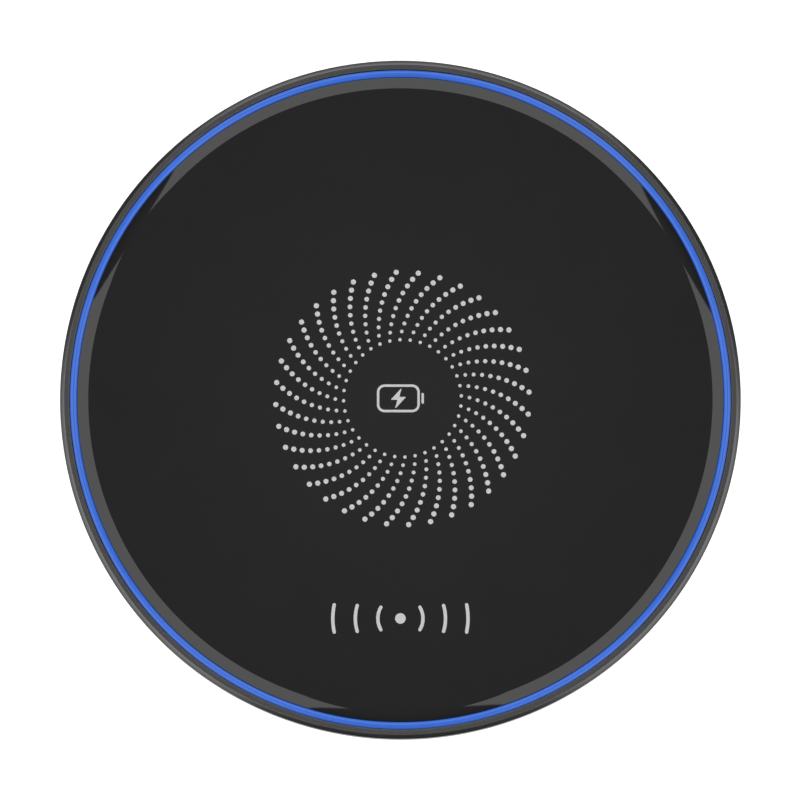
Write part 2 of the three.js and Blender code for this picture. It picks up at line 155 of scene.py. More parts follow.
def piece(name, verts, faces, sharp=SHARP):
    """An object from millimetre vertices, smooth but for its sharp corners, with faces outwards."""
    mesh = bpy.data.meshes.new(name)
    mesh.from_pydata([Vector(v) * MM for v in verts], [], faces)
    work = bmesh.new()
    work.from_mesh(mesh)
    bmesh.ops.remove_doubles(work, verts=work.verts, dist=1e-7)
    bmesh.ops.recalc_face_normals(work, faces=work.faces)
    if work.calc_volume(signed=True) < 0:
        bmesh.ops.reverse_faces(work, faces=work.faces)
    work.to_mesh(mesh)
    work.free()
    thing = bpy.data.objects.new(name, mesh)
    bpy.context.scene.collection.objects.link(thing)
    return smooth(thing, sharp)


def smooth(thing, sharp=SHARP):
    mesh = thing.data
    mesh.polygons.foreach_set("use_smooth", [True] * len(mesh.polygons))
    mesh.set_sharp_from_angle(angle=sharp)
    return thing


# %% Turning on the lathe
FINE = 360  # steps round a large ring


def turned(name, outline, steps=FINE, centre=(0, 0), corner_steps=5):
    """A closed ring or disc turned from (radius, height) corners, which may be rounded."""
    points = rounded(outline, corner_steps)
    count = len(points)
    verts = []
    for step in range(steps):
        angle = math.tau * step / steps
        cos, sin = math.cos(angle), math.sin(angle)
        verts += [(centre[0] + max(p.x, 0) * cos, centre[1] + max(p.x, 0) * sin, p.y) for p in points]
    faces = []
    for step in range(steps):
        here, there = step * count, (step + 1) % steps * count
        for i in range(count):
            j = (i + 1) % count
            if points[i].x <= 0 and points[j].x <= 0:
                continue
            faces.append((here + i, there + i, there + j, here + j))
    return piece(name, verts, faces)


# %% Raising a slab and sweeping a section
def slab(name, outline, low, high, place=None, edge=0.0, segments=2):
    """A flat outline raised between two heights, its upper edges rounded, then put in place."""
    count = len(outline)
    work = bmesh.new()
    rows = [[work.verts.new((p[0], p[1], z)) for p in outline] for z in (low, high)]
    work.faces.new(rows[0][::-1])
    work.faces.new(rows[1])
    for i in range(count):
        j = (i + 1) % count
        work.faces.new((rows[0][i], rows[0][j], rows[1][j], rows[1][i]))
    if edge:
        upper = [e for e in work.edges if all(v.co.z > high - 1e-6 for v in e.verts)]
        bmesh.ops.bevel(work, geom=upper, offset=edge, segments=segments, affect="EDGES", profile=0.5)
    if place:
        work.transform(place)
    verts = [tuple(v.co) for v in work.verts]
    work.verts.index_update()
    faces = [[v.index for v in f.verts] for f in work.faces]
    work.free()
    return piece(name, verts, faces)


def swept(name, rings):
    """Joins a row of equal closed sections into a tube with flat ends."""
    count = len(rings[0])
    verts = [tuple(p) for ring in rings for p in ring]
    faces = []
    for r in range(len(rings) - 1):
        for i in range(count):
            j = (i + 1) % count
            faces.append((r * count + i, r * count + j, (r + 1) * count + j, (r + 1) * count + i))
    last = (len(rings) - 1) * count
    faces += [tuple(range(count))[::-1], tuple(range(last, last + count))]
    return piece(name, verts, faces)


# %% Cutting and joining
def shaped(thing, others, operation):
    """Cuts the others out of a piece, or joins them to it, and removes them; it works in millimetres."""
    for mesh in {thing.data, *(other.data for other in others)}:
        mesh.transform(Matrix.Scale(1 / MM, 4))
    for other in others:
        tool = thing.modifiers.new("cut", "BOOLEAN")
        tool.operation = operation
        tool.object = other
        tool.solver = "EXACT"
    seen = thing.evaluated_get(bpy.context.evaluated_depsgraph_get())
    result = bpy.data.meshes.new_from_object(seen)
    result.transform(Matrix.Scale(MM, 4))
    thing.modifiers.clear()
    thing.data = result
    for other in others:
        bpy.data.objects.remove(other)
    return smooth(thing)


def cut(thing, *others):
    return shaped(thing, others, "DIFFERENCE")


def joined(thing, *others):
    return shaped(thing, others, "UNION")


# %% [markdown]
# ## Making finishes
#
# A finish is a small network of shader nodes round one Principled shader. Three helpers keep each one
# short: a noise at a real size in millimetres, a blend between two values driven by it, and a bump made
# from it. A fourth strings them together, since most finishes here use one pattern for their colour, their
# gloss and their grain. All of them read object coordinates, which stay put on the piece from every side.

# %% Helpers for finishes
class Finish:
    """One material: its nodes, with the plain numbers set straight on the shader."""

    def __init__(self, name, **numbers):
        self.material = bpy.data.materials.new(name)
        self.material.use_nodes = True
        self.tree = self.material.node_tree
        self.shader = self.tree.nodes["Principled BSDF"]
        self.place = self.tree.nodes.new("ShaderNodeTexCoord").outputs["Object"]
        for socket, value in numbers.items():
            self.shader.inputs[socket.replace("_", " ")].default_value = value

    def node(self, kind):
        return self.tree.nodes.new(kind)

    def link(self, output, socket):
        self.tree.links.new(output, socket)

    def noise(self, size, detail=3.0, roughness=0.55, stretch=(1, 1, 1)):
        """A cloudy pattern whose blobs are about size millimetres across; stretch squeezes it."""
        scale = self.node("ShaderNodeMapping")
        scale.inputs["Scale"].default_value = [s / (size * MM) for s in stretch]
        self.link(self.place, scale.inputs["Vector"])
        cloud = self.node("ShaderNodeTexNoise")
        cloud.inputs["Scale"].default_value = 1
        cloud.inputs["Detail"].default_value = detail
        cloud.inputs["Roughness"].default_value = roughness
        self.link(scale.outputs[0], cloud.inputs["Vector"])
        return cloud.outputs["Fac"]

    def between(self, pattern, low, high, start=0.3, end=0.7):
        """Turns a pattern from start to end into a value from low to high."""
        span = self.node("ShaderNodeMapRange")
        for socket, value in zip(("From Min", "From Max", "To Min", "To Max"), (start, end, low, high)):
            span.inputs[socket].default_value = value
        self.link(pattern, span.inputs["Value"])
        return span.outputs[0]

    def colours(self, pattern, *stops):
        """Turns a pattern into colours: each stop is (place, (r, g, b))."""
        ramp = self.node("ShaderNodeValToRGB")
        elements = ramp.color_ramp.elements
        while len(elements) < len(stops):
            elements.new(0.5)
        for element, (place, colour) in zip(elements, stops):
            element.position = place
            element.color = (*colour, 1)
        self.link(pattern, ramp.inputs["Fac"])
        return ramp.outputs["Color"]

    def bump(self, pattern, height, strength=1.0):
        """Raises the surface by a pattern; height is in millimetres."""
        raised = self.node("ShaderNodeBump")
        raised.inputs["Strength"].default_value = strength
        raised.inputs["Distance"].default_value = height * MM
        self.link(pattern, raised.inputs["Height"])
        self.link(raised.outputs[0], self.shader.inputs["Normal"])

    def gloss(self, pattern, low, high):
        """Lets a pattern vary the roughness."""
        self.link(self.between(pattern, low, high), self.shader.inputs["Roughness"])

    def looks(self, pattern, low, high, rough=None, grain=0.0, strength=1.0, socket="Base Color"):
        """A pattern blends two colours, and if wanted it also varies the roughness and raises a grain."""
        self.link(self.colours(pattern, (0.3, low), (0.7, high)), self.shader.inputs[socket])
        if rough:
            self.gloss(pattern, *rough)
        if grain:
            self.bump(pattern, grain, strength)

    def coat(self, weight, roughness):
        """A clear layer over the finish."""
        self.shader.inputs["Coat Weight"].default_value = weight
        self.shader.inputs["Coat Roughness"].default_value = roughness


def grey(value):
    return (value, value, value)


def show(thing, *finishes):
    thing.data.materials.clear()
    for finish in finishes:
        thing.data.materials.append(finish.material)
    return thing


def stands_for(thing, slot, *replaced):
    """A piece rides on the pad's one body and hides the CAD nodes it stands for; slot is not used."""
    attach(thing, "root")
    if replaced:
        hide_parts(*replaced)
    return thing


# %% [markdown]
# ## The camera
#
# The pad is shown almost straight from above, from a little on the near side, through a long lens. Far away,
# a long lens sees the rim's wall at nearly the same angle all round, as a short one close up would not.

# %% Place the camera
VIEW_ELEVATION = math.radians(85.2)
VIEW_DISTANCE = 1.2
PAD_SHARE = 0.8499  # how much of the picture's width the pad fills
AIM = Vector((-0.06, -0.045, 0)) * MM  # the pad lies this much off the middle of the picture
AIM_HEIGHT = 0.7  # the share of the pad's height that the lens is turned to
SENSOR = 36

camera_data = bpy.data.cameras.new("camera")
camera = bpy.data.objects.new("camera", camera_data)
bpy.context.scene.collection.objects.link(camera)
pad_width = cad_high.x - cad_low.x
look_at = Vector((0, 0, (cad_low.z + cad_high.z) * AIM_HEIGHT)) + AIM
away = Vector((0, -math.cos(VIEW_ELEVATION), math.sin(VIEW_ELEVATION)))
camera.location = look_at + away * VIEW_DISTANCE
camera.rotation_euler = away.to_track_quat("Z", "Y").to_euler()
camera_data.sensor_width = SENSOR
camera_data.lens = SENSOR * VIEW_DISTANCE * PAD_SHARE / pad_width
camera_data.clip_end = 20
bpy.context.scene.camera = camera
print("lens", round(camera_data.lens, 1), "mm at", VIEW_DISTANCE, "m")

# %% [markdown]
# ## The glass
#
# The top is one disc of glass, black because its back is printed, with a ground and polished bevel. A
# bevel on glass is never quite straight: the polishing wheel leaves it a little steeper towards the edge.
# That curve is what makes the reflections of the lights taper at their ends, so the outline follows it
# with an arc from the flat's edge to the side instead of one straight cut.

# %% Shape the glass
glass_top, glass_flat = GLASS[-1][0], GLASS[-1][2]
glass_radius = GLASS[-3][2]
glass_under = GLASS[0][0]
BEVEL_START = math.radians(8.4)
BEVEL_END = math.radians(18.6)
BEVEL_STEPS = 14


def bevel_outline():
    """The bevel from the side up to the flat, its slope growing evenly outwards."""
    growth = (BEVEL_END - BEVEL_START) / BEVEL_STEPS
    slopes = [BEVEL_START + growth * (i + 0.5) for i in range(BEVEL_STEPS)]
    width = (glass_radius - glass_flat) / BEVEL_STEPS
    drops = accumulate([0] + [math.tan(slope) * width for slope in slopes])
    points = [(glass_flat + width * i, glass_top - drop) for i, drop in enumerate(drops)]
    return points[::-1]


bevel = bevel_outline()
side = [(0, glass_under), (glass_radius, glass_under, 0.08), (glass_radius, bevel[0][1] - 0.04)]
glass = turned("glass_top", side + bevel + [(0, glass_top)], steps=480)
smooth(glass, math.radians(5))  # keeps the line where the flat meets the bevel crisp
print("bevel drops", round(glass_top - bevel[0][1], 3), "mm over", round(glass_radius - glass_flat, 2), "mm")

# %% [markdown]
# Black glass looks the way it does because two things add up: a deep black print seen through the glass,
# and the glass's own mirror, which returns about a twenty-fifth of what is above it. So the base is nearly
# black, the gloss is almost perfect, and only faint wipe marks vary it.

# %% Black glass
black_glass = Finish("black_glass", Roughness=0.03, IOR=1.52)
print_cloud = black_glass.noise(9, detail=2)
black_glass.looks(print_cloud, grey(0.0086), grey(0.0096))
wipes = black_glass.noise(14, detail=4, stretch=(1, 2.6, 1))
black_glass.gloss(wipes, 0.022, 0.045)

# %% Polished bevel
polished_bevel = Finish("polished_bevel", Roughness=0.02, IOR=1.52)
wheel_marks = polished_bevel.noise(0.5, detail=2)
polished_bevel.looks(wheel_marks, grey(0.0080), grey(0.0094), rough=(0.015, 0.03))

# %% Matt black paint
# The ground side of the glass, and later the inside of the rim, are painted so that they don't smear
# the glow.
matt_black = Finish("matt_black_paint", Roughness=0.8, IOR=1.4)
stipple = matt_black.noise(0.2)
matt_black.looks(stipple, grey(0.006), grey(0.010), grain=0.01)

# %% Finish the glass
FACES_UP = 0.2  # the bevel and the flat face up at least this much, the ground side doesn't
show(glass, black_glass, polished_bevel, matt_black)
for face in glass.data.polygons:
    reach = face.center.xy.length / MM
    if face.normal.z < FACES_UP:
        face.material_index = 2
    elif reach > glass_flat:
        face.material_index = 1
stands_for(glass, "glass", "top_panel")
print("glass", len(glass.data.polygons), "faces")

# %% [markdown]
# ## The printed swirl
#
# The print is ten rings of dots in thirty-six arms. Each arm is an arc of a circle: every dot lies the
# same step from the last, and the way ahead turns by the same angle each time. So one loop with a heading
# makes an arm, and turning it by ten degrees makes the next. Screen ink stands a hair above the glass,
# so each dot is a real disc with a soft edge and not a picture on the surface.

# %% Lay out the dots
ARMS = 36
DOTS_IN_ARM = 10
FIRST_RADIUS = 8.65
FIRST_AZIMUTH = math.radians(2.415)
FIRST_HEADING = math.radians(-12.7)
STEP = 1.237
TURN = math.radians(-5)
SMALL_DOT = 0.25  # radius of the innermost dots
LARGE_DOT = 0.385
INK_HEIGHT = 0.012
SWIRL_MIDDLE = Vector((0.3, 0.0))  # the print sits a little off the pad's middle


def arm(turn_by):
    """The places and radii of one arm's dots, from the middle outwards."""
    outward = Vector((math.cos(FIRST_AZIMUTH + turn_by), math.sin(FIRST_AZIMUTH + turn_by)))
    here = SWIRL_MIDDLE + outward * FIRST_RADIUS
    heading = FIRST_HEADING + turn_by
    dots = []
    for i in range(DOTS_IN_ARM):
        grown = min(i / (DOTS_IN_ARM - 2), 1)
        dots.append((here.copy(), SMALL_DOT + (LARGE_DOT - SMALL_DOT) * grown))
        here += Vector((math.cos(heading), math.sin(heading))) * STEP
        heading += TURN
    return dots


def ink_disc(centre, radius, sides=24):
    """Rings of vertices for one dot of ink: its foot, its shoulder and its flat top."""
    rows = [(radius, 0), (radius, INK_HEIGHT / 2), (radius - INK_HEIGHT, INK_HEIGHT)]
    verts = []
    for r, z in rows:
        for side in range(sides):
            angle = math.tau * side / sides
            verts.append((centre.x + r * math.cos(angle), centre.y + r * math.sin(angle), glass_top + z))
    faces = [tuple(range(sides))[::-1], tuple(range(2 * sides, 3 * sides))]
    for row in (0, sides):
        for side in range(sides):
            on = (side + 1) % sides
            faces.append((row + side, row + on, row + sides + on, row + sides + side))
    return verts, faces


# %% Print the dots
dot_verts, dot_faces = [], []
for number in range(ARMS):
    for centre, radius in arm(math.tau * number / ARMS):
        verts, faces = ink_disc(centre, radius)
        dot_faces += [tuple(i + len(dot_verts) for i in face) for face in faces]
        dot_verts += verts
swirl = piece("dot_swirl", dot_verts, dot_faces)
print("swirl of", ARMS * DOTS_IN_ARM, "dots")

# %% Screen ink
pale_ink = Finish("pale_ink", Roughness=0.45, IOR=1.5)
mottle = pale_ink.noise(0.35, detail=3)
pale_ink.looks(mottle, grey(0.61), grey(0.67), rough=(0.4, 0.55))
pale_ink.bump(pale_ink.noise(0.12), 0.002)
show(swirl, pale_ink)
stands_for(swirl, "glass")

# %% [markdown]
# ## Two printed marks
#
# In the middle is a mark that says fast charging, drawn here as a battery outline with a bolt in it. Near
# the front edge is a mark for the field that the coil makes: a dot with three waves on each side. Both are
# drawn as strokes of one width. A stroke is a ribbon with round ends that follows a line of points.

# %% Draw a stroke
def ribbon(points, width, closed=False, ends=6):
    """A flat outline that follows the points at half its width on both sides."""
    half = width / 2
    line = [Vector(p) for p in points]

    def side_of(i):
        before = line[i - 1] if closed or i else line[i]
        after = line[(i + 1) % len(line)] if closed or i < len(line) - 1 else line[i]
        along = (after - before).normalized()
        return Vector((-along.y, along.x)) * half

    left = [p + side_of(i) for i, p in enumerate(line)]
    right = [p - side_of(i) for i, p in enumerate(line)]
    if closed:
        return left, right

    def cap(i):
        start = side_of(i) if i else -side_of(i)
        return [line[i] + Matrix.Rotation(-math.pi * k / ends, 2) @ start for k in range(1, ends)]

    return [*left, *cap(len(line) - 1), *right[::-1], *cap(0)]


def area_of(outline):
    """Above zero for an outline that runs counter-clockwise."""
    pairs = zip(outline, [*outline[1:], outline[0]])
    return sum(a[0] * b[1] - b[0] * a[1] for a, b in pairs) / 2


def ink_shape(name, outline):
    """A flat outline raised by the ink's height, its upper edge softened."""
    if area_of(outline) < 0:
        outline = outline[::-1]
    return slab(name, outline, glass_top, glass_top + INK_HEIGHT, edge=INK_HEIGHT / 2, segments=1)


def ink_loop(name, points, width):
    """A closed stroke: two rims of one ring-shaped ribbon, raised by the ink's height."""
    left, right = ribbon(points, width, closed=True)
    count = len(points)
    verts = [(p.x, p.y, z) for z in (glass_top, glass_top + INK_HEIGHT) for row in (left, right) for p in row]
    faces = []
    for i in range(count):
        j = (i + 1) % count
        for a, b in ((0, 1), (1, 3), (3, 2), (2, 0)):
            faces.append((a * count + i, a * count + j, b * count + j, b * count + i))
    return piece(name, verts, faces)


# %% The charging mark
STROKE = 0.36
BATTERY = Vector((6.3, 4.1))
BATTERY_ROUND = 0.95
TERMINAL_GAP = 0.42
TERMINAL_HALF = 0.62  # half its height
MARK_SHIFT = Vector((-0.3, 0))  # brings the battery and its end together to the middle
BOLT = [(0.55, 1.62), (-1.15, -0.22), (-0.12, -0.22), (-0.55, -1.62), (1.15, 0.22), (0.12, 0.22)]

half = (BATTERY - Vector((STROKE, STROKE))) / 2
corners = [(half.x, -half.y), (half.x, half.y), (-half.x, half.y), (-half.x, -half.y)]
body_line = rounded([(*corner, BATTERY_ROUND) for corner in corners], steps=8)
battery = ink_loop("charging_mark_body", [p + MARK_SHIFT for p in body_line], STROKE)
terminal_x = half.x + MARK_SHIFT.x + STROKE / 2 + TERMINAL_GAP
terminal_line = [(terminal_x, -TERMINAL_HALF), (terminal_x, TERMINAL_HALF)]
terminal = ink_shape("charging_mark_end", ribbon(terminal_line, STROKE))
bolt_line = rounded([(x, y, 0.07) for x, y in BOLT], steps=3)
bolt = ink_shape("charging_mark_bolt", [p + MARK_SHIFT for p in bolt_line])
for mark in (battery, terminal, bolt):
    show(mark, pale_ink)
    stands_for(mark, "glass")
print("charging mark", [round(v / MM, 2) for v in battery.dimensions])

# %% The wave mark
WAVE_Y = -32.35
WAVE_STROKE = 0.5
WAVE_DOT = 0.78
WAVE_REACH = 2.25  # half the height of the waves
WAVE_RADII = (3.3, 6.6, 9.9)
WAVE_STEPS = 24
WAVE_MIDDLE = Vector((0, WAVE_Y))

wave_parts = [ink_shape("wave_mark_dot", [WAVE_MIDDLE + p * WAVE_DOT * 2 for p in oval(1, 1)])]
for i, radius in enumerate(WAVE_RADII):
    spread = math.asin(WAVE_REACH / (radius + 1.2))
    turns = [spread * (2 * k / WAVE_STEPS - 1) for k in range(WAVE_STEPS + 1)]
    for side_name, sign in (("left", -1), ("right", 1)):
        line = [WAVE_MIDDLE + Vector((sign * math.cos(t), math.sin(t))) * radius for t in turns]
        wave_parts.append(ink_shape(f"wave_mark_{side_name}_{i + 1}", ribbon(line, WAVE_STROKE)))
for mark in wave_parts:
    show(mark, pale_ink)
    stands_for(mark, "glass")
print("wave mark of", len(wave_parts), "strokes")

# %% [markdown]
# ## The lit ring
#
# A moulded ring of clear plastic stands between glass and rim. Small lamps shine into its foot, the light
# travels up the skirt and leaves through the crowned bead on top. From above only the bead shows: an even
# blue, with a thin bright line wherever its curve mirrors a lamp of the room. So the ring glows and is
# glossy at the same time.

# %% Shape the lit ring
light_base, light_foot, light_outer = LIGHT[0]
light_foot_top = LIGHT[1][0] if LIGHT[1][1] < light_foot + 0.01 else LIGHT[2][0]
light_shoulder = LIGHT[-3][0]
light_crown = LIGHT[-1][0]
light_inner = LIGHT[-3][1]
BEAD_STEPS = 16


def bead_outline():
    """The crown as an arc of a circle from its outer edge to its inner one."""
    chord = light_outer - light_inner
    rise = light_crown - light_shoulder
    radius = (chord * chord / 4 + rise * rise) / (2 * rise)
    middle = (light_inner + light_outer) / 2
    spread = math.asin(chord / 2 / radius)
    turns = [spread * (1 - 2 * i / BEAD_STEPS) for i in range(BEAD_STEPS + 1)]
    return [(middle + radius * math.sin(t), light_crown - radius + radius * math.cos(t)) for t in turns]


light_ring = turned(
    "light_guide",
    [
        (light_foot, light_base, 0.1),
        (light_outer, light_base, 0.1),
        *bead_outline(),
        (light_inner, light_foot_top, 0.15),
        (light_foot, light_foot_top, 0.1),
    ],
    steps=480,
)
print("bead", round(light_outer - light_inner, 2), "mm wide, crown at", light_crown)

# %% [markdown]
# At the back the ring is notched from below to clear the socket. The notch stops well under the bead, so
# the glow runs round unbroken. It is cut with a block whose corners are rounded, as a mould would leave it.

# %% Notch the ring for the socket
shell_low, shell_high = box("usb_shell")
RING_NOTCH_HALF = 5.6
notch_top = LIGHT[2][0] if len(LIGHT) > 5 else shell_high.z + 0.5
notch_outline = rounded(
    [
        (-RING_NOTCH_HALF, light_base - 1),
        (RING_NOTCH_HALF, light_base - 1),
        (RING_NOTCH_HALF, notch_top, 0.5),
        (-RING_NOTCH_HALF, notch_top, 0.5),
    ]
)
ALONG_Y = Matrix(((1, 0, 0, 0), (0, 0, 1, 0), (0, 1, 0, 0), (0, 0, 0, 1)))  # swaps height and depth
notch = slab("notch", notch_outline, light_foot - 3, light_outer + 3, place=ALONG_Y)
cut(light_ring, notch)
print("ring notched up to", notch_top)

# %% Lit plastic
BLUE_GLOW = (0.016, 0.096, 0.500)
lit_plastic = Finish("lit_plastic", Roughness=0.16, IOR=1.49, Emission_Strength=1.0)
lit_plastic.shader.inputs["Base Color"].default_value = (0.02, 0.05, 0.16, 1)
dimmer, brighter = (tuple(c * share for c in BLUE_GLOW) for share in (0.97, 1.03))
lit_plastic.looks(lit_plastic.noise(6, detail=1), dimmer, brighter, socket="Emission Color")
lit_plastic.gloss(lit_plastic.noise(0.4), 0.12, 0.2)
print("glow", BLUE_GLOW)

# %% The unlit sides of the ring
LIT_OUTSIDE, LIT_INSIDE = 0.81, 0.75  # the bead glows where it faces up at least this much
clear_side = Finish("clear_side", Roughness=0.2, IOR=1.49, Emission_Strength=0.3)
clear_side.shader.inputs["Emission Color"].default_value = (*BLUE_GLOW, 1)
flow_lines = clear_side.noise(1.5, stretch=(1, 1, 4))
clear_side.looks(flow_lines, (0.090, 0.092, 0.100), (0.105, 0.107, 0.116), rough=(0.15, 0.3))
show(light_ring, lit_plastic, clear_side)
for face in light_ring.data.polygons:
    lit_slope = LIT_OUTSIDE if face.normal.xy.dot(face.center.xy) > 0 else LIT_INSIDE
    if face.normal.z < lit_slope or face.center.z / MM < light_shoulder:
        face.material_index = 1
stands_for(light_ring, "light_guide", "light_ring")

# %% [markdown]
# ## The rim
#
# The rim is turned from aluminium: a narrow flat land beside the lit ring, a rounded outer edge, an
# upright wall, and a long curve in towards the bottom. Inside it has a ledge that is clamped between the
# cover and the frame. It is blasted, then anodised dark grey, so it is matt metal: it spreads the lights
# into broad soft bands, brightest where the edge turns over.

# %% Shape the rim
rim_radius = cad_high.x / MM
rim_top, rim_inner = RIM[-1][:2]
rim_base, rim_mouth, rim_foot = RIM[0]
upright = [row[0] for row in RIM if row[2] > rim_radius - 0.01]
wall_low, wall_high = min(upright), max(upright)
ledge = [row for row in RIM if row[1] < rim_inner - 1]
ledge_low, ledge_high, ledge_radius = ledge[0][0], ledge[-1][0], ledge[0][1]
CURVE_STEPS = 14
LAND_END = 49.37 / 50  # of the rim's radius
TURN_END = 49.42 / 50
CHAMFER_SLOPES = math.radians(24), math.radians(34)
ROUND_STEPS, CHAMFER_STEPS = 8, 6
WALL_ROUND = 0.1


def quarter(r0, z0, r1, z1, steps=CURVE_STEPS):
    """A quarter ellipse from an upright start at (r0, z0) to a level end at (r1, z1)."""
    turns = [math.pi / 2 * i / steps for i in range(steps + 1)]
    return [(r1 + (r0 - r1) * math.cos(t), z0 + (z1 - z0) * math.sin(t)) for t in turns]


def edge_slope(step):
    """The slope grows from nothing over the small round, and then only a little over the chamfer."""
    start, end = CHAMFER_SLOPES
    if step < ROUND_STEPS:
        return start * step / ROUND_STEPS
    return start + (end - start) * (step - ROUND_STEPS) / CHAMFER_STEPS


def chamfer_outline():
    """The rim's top edge from the land outwards: a small round, then a chamfer that steepens a little."""
    land_end, turn_end = LAND_END * rim_radius, TURN_END * rim_radius
    stops = [land_end + (turn_end - land_end) * i / ROUND_STEPS for i in range(ROUND_STEPS + 1)]
    stops += [turn_end + (rim_radius - turn_end) * (i + 1) / CHAMFER_STEPS for i in range(CHAMFER_STEPS)]
    points, height = [(stops[0], rim_top)], rim_top
    for i in range(1, len(stops)):
        height -= math.tan(edge_slope(i - 0.5)) * (stops[i] - stops[i - 1])
        points.append((stops[i], height))
    points[-1] = (*points[-1], WALL_ROUND)
    return points[::-1]


rim = turned(
    "metal_rim",
    [
        (rim_inner, ledge_high, 0.15),
        (ledge_radius, ledge_high, 0.1),
        (ledge_radius, ledge_low, 0.1),
        (rim_mouth, ledge_low, 0.1),
        (rim_mouth, rim_base, 0.08),
        *quarter(rim_radius, wall_low, rim_foot, rim_base)[::-1],
        *chamfer_outline(),
        (rim_inner, rim_top, 0.06),
    ],
    steps=480,
)
print("rim wall from", wall_low, "to", wall_high, "ledge", ledge_low, "to", ledge_high)

# %% [markdown]
# The socket's slot is milled through the wall. Its mouth has a small chamfer, which the cutter makes by
# flaring outwards where it leaves the metal.

# %% Mill the slot
SLOT_ROOM = 0.28
SLOT_CHAMFER = 0.3
shell_width = shell_high.x - shell_low.x
shell_height = shell_high.z - shell_low.z
shell_middle = (shell_low.z + shell_high.z) / 2


def upright_oval(width, height, y, steps=14):
    """An oval section standing across Y at the socket's height."""
    return [(p.x, y, shell_middle + p.y) for p in oval(width, height, steps)]


slot_w, slot_h = shell_width + 2 * SLOT_ROOM, shell_height + 2 * SLOT_ROOM
mouth_y = rim_radius - 0.12
cutter = swept(
    "slot_cutter",
    [
        upright_oval(slot_w, slot_h, ledge_radius - 2),
        upright_oval(slot_w, slot_h, mouth_y - SLOT_CHAMFER),
        upright_oval(slot_w + 4 * SLOT_CHAMFER, slot_h + 4 * SLOT_CHAMFER, mouth_y + SLOT_CHAMFER),
    ],
)
cut(rim, cutter)
print("slot", round(slot_w, 2), "by", round(slot_h, 2), "mm;", len(rim.data.polygons), "faces")

# %% Dark anodised metal
dark_metal = Finish("dark_anodised", Metallic=1.0, Roughness=0.22)
dark_metal.shader.inputs["Specular Tint"].default_value = (0.5, 0.5, 0.5, 1)
blast = dark_metal.noise(0.09, detail=2)
dye = dark_metal.noise(5, detail=3)
dark_metal.looks(dye, (0.155, 0.155, 0.157), (0.168, 0.168, 0.170))
dark_metal.gloss(blast, 0.19, 0.26)
dark_metal.bump(blast, 0.004)
show(rim, dark_metal, matt_black)
for face in rim.data.polygons:
    if face.center.xy.length / MM < rim_inner + 0.03:
        face.material_index = 1
stands_for(rim, "anodised_rim", "outer_rim")

# %% [markdown]
# ## More ways to put meshes together
#
# The inside of the pad repeats a lot: four screws, eight lamps, rows of pads. So a few more helpers come
# first. One finds where a small CAD package sits and how it is turned, a few make plain rounded shapes, one
# gathers loose shells into one mesh and gives each its own finish, and one copies a piece to a new place.

# %% Places round the pad
def polar(radius, degrees):
    angle = math.radians(degrees)
    return Vector((radius * math.cos(angle), radius * math.sin(angle)))


def seated(degrees, radius, base):
    """A matrix that sets a local shape (across, outwards, up) on the board at an angle and radius."""
    spot = polar(radius, degrees)
    return Matrix.Translation((spot.x, spot.y, base)) @ Matrix.Rotation(math.radians(degrees - 90), 4, "Z")


def seat(node):
    """Where a package stands: its matrix and its size across, outwards and up, in millimetres."""
    places = [v.co / MM for v in nodes[node].data.vertices]
    middle = sum(places, Vector()) / len(places)
    base = min(p.z for p in places)
    matrix = seated(math.degrees(math.atan2(middle.y, middle.x)), middle.xy.length, base)
    local = [matrix.inverted() @ p for p in places]
    return matrix, Vector([max(p[i] for p in local) - min(p[i] for p in local) for i in range(3)])


print("the controller sits", [round(v, 2) for v in seat("controller_chip")[1]])


# %% Boxes, rods and loops
def plate(name, size, corner=0.1, low=0.0, place=None, edge=0.0, middle=(0, 0)):
    """A box with rounded upright corners, standing at height low in its own frame."""
    x, y = size[0] / 2, size[1] / 2
    corners = [(x, -y), (x, y), (-x, y), (-x, -y)]
    outline = rounded([(a + middle[0], b + middle[1], corner) for a, b in corners], steps=4)
    return slab(name, outline, low, low + size[2], place=place, edge=edge)


def rod(name, radius, low, high, centre=(0, 0), sides=40, edge=0.0):
    """A solid upright cylinder, its two edges rounded."""
    outline = [(0, low), (radius, low, edge), (radius, high, edge), (0, high)]
    return turned(name, outline, steps=sides, centre=centre, corner_steps=3)


def washer(name, inner, outer, low, high, corner=0.0, steps=FINE, centre=(0, 0), corner_steps=2):
    """A flat ring with its four corners rounded."""
    corners = [(inner, low), (outer, low), (outer, high), (inner, high)]
    return turned(name, [(*c, corner) for c in corners], steps, centre, corner_steps)


def lofted(name, rings):
    """Joins equal closed sections, the last one to the first, into a hollow body."""
    count = len(rings[0])
    verts = [tuple(p) for ring in rings for p in ring]
    faces = []
    for r in range(len(rings)):
        here, there = r * count, (r + 1) % len(rings) * count
        for i in range(count):
            j = (i + 1) % count
            faces.append((here + i, here + j, there + j, there + i))
    return piece(name, verts, faces)


# %% Gather, copy and finish
def gathered(name, things, finishes=()):
    """One mesh of several shells; each shell's faces take the finish at the shell's own place."""
    work = bmesh.new()
    for index, thing in enumerate(things):
        first = len(work.faces)
        work.from_mesh(thing.data)
        work.faces.ensure_lookup_table()
        for face in work.faces[first:]:
            face.material_index = index if finishes else 0
        bpy.data.objects.remove(thing)
    mesh = bpy.data.meshes.new(name)
    for finish in finishes:
        mesh.materials.append(finish.material)
    work.to_mesh(mesh)
    work.free()
    whole = bpy.data.objects.new(name, mesh)
    bpy.context.scene.collection.objects.link(whole)
    return smooth(whole)


def moved(mesh, place):
    """Moves a mesh by a matrix whose lengths are in millimetres."""
    mesh.transform(Matrix.Scale(MM, 4) @ place @ Matrix.Scale(1 / MM, 4))


def copied(name, thing, place):
    """The same mesh at another place."""
    mesh = thing.data.copy()
    moved(mesh, place)
    other = bpy.data.objects.new(name, mesh)
    bpy.context.scene.collection.objects.link(other)
    return other


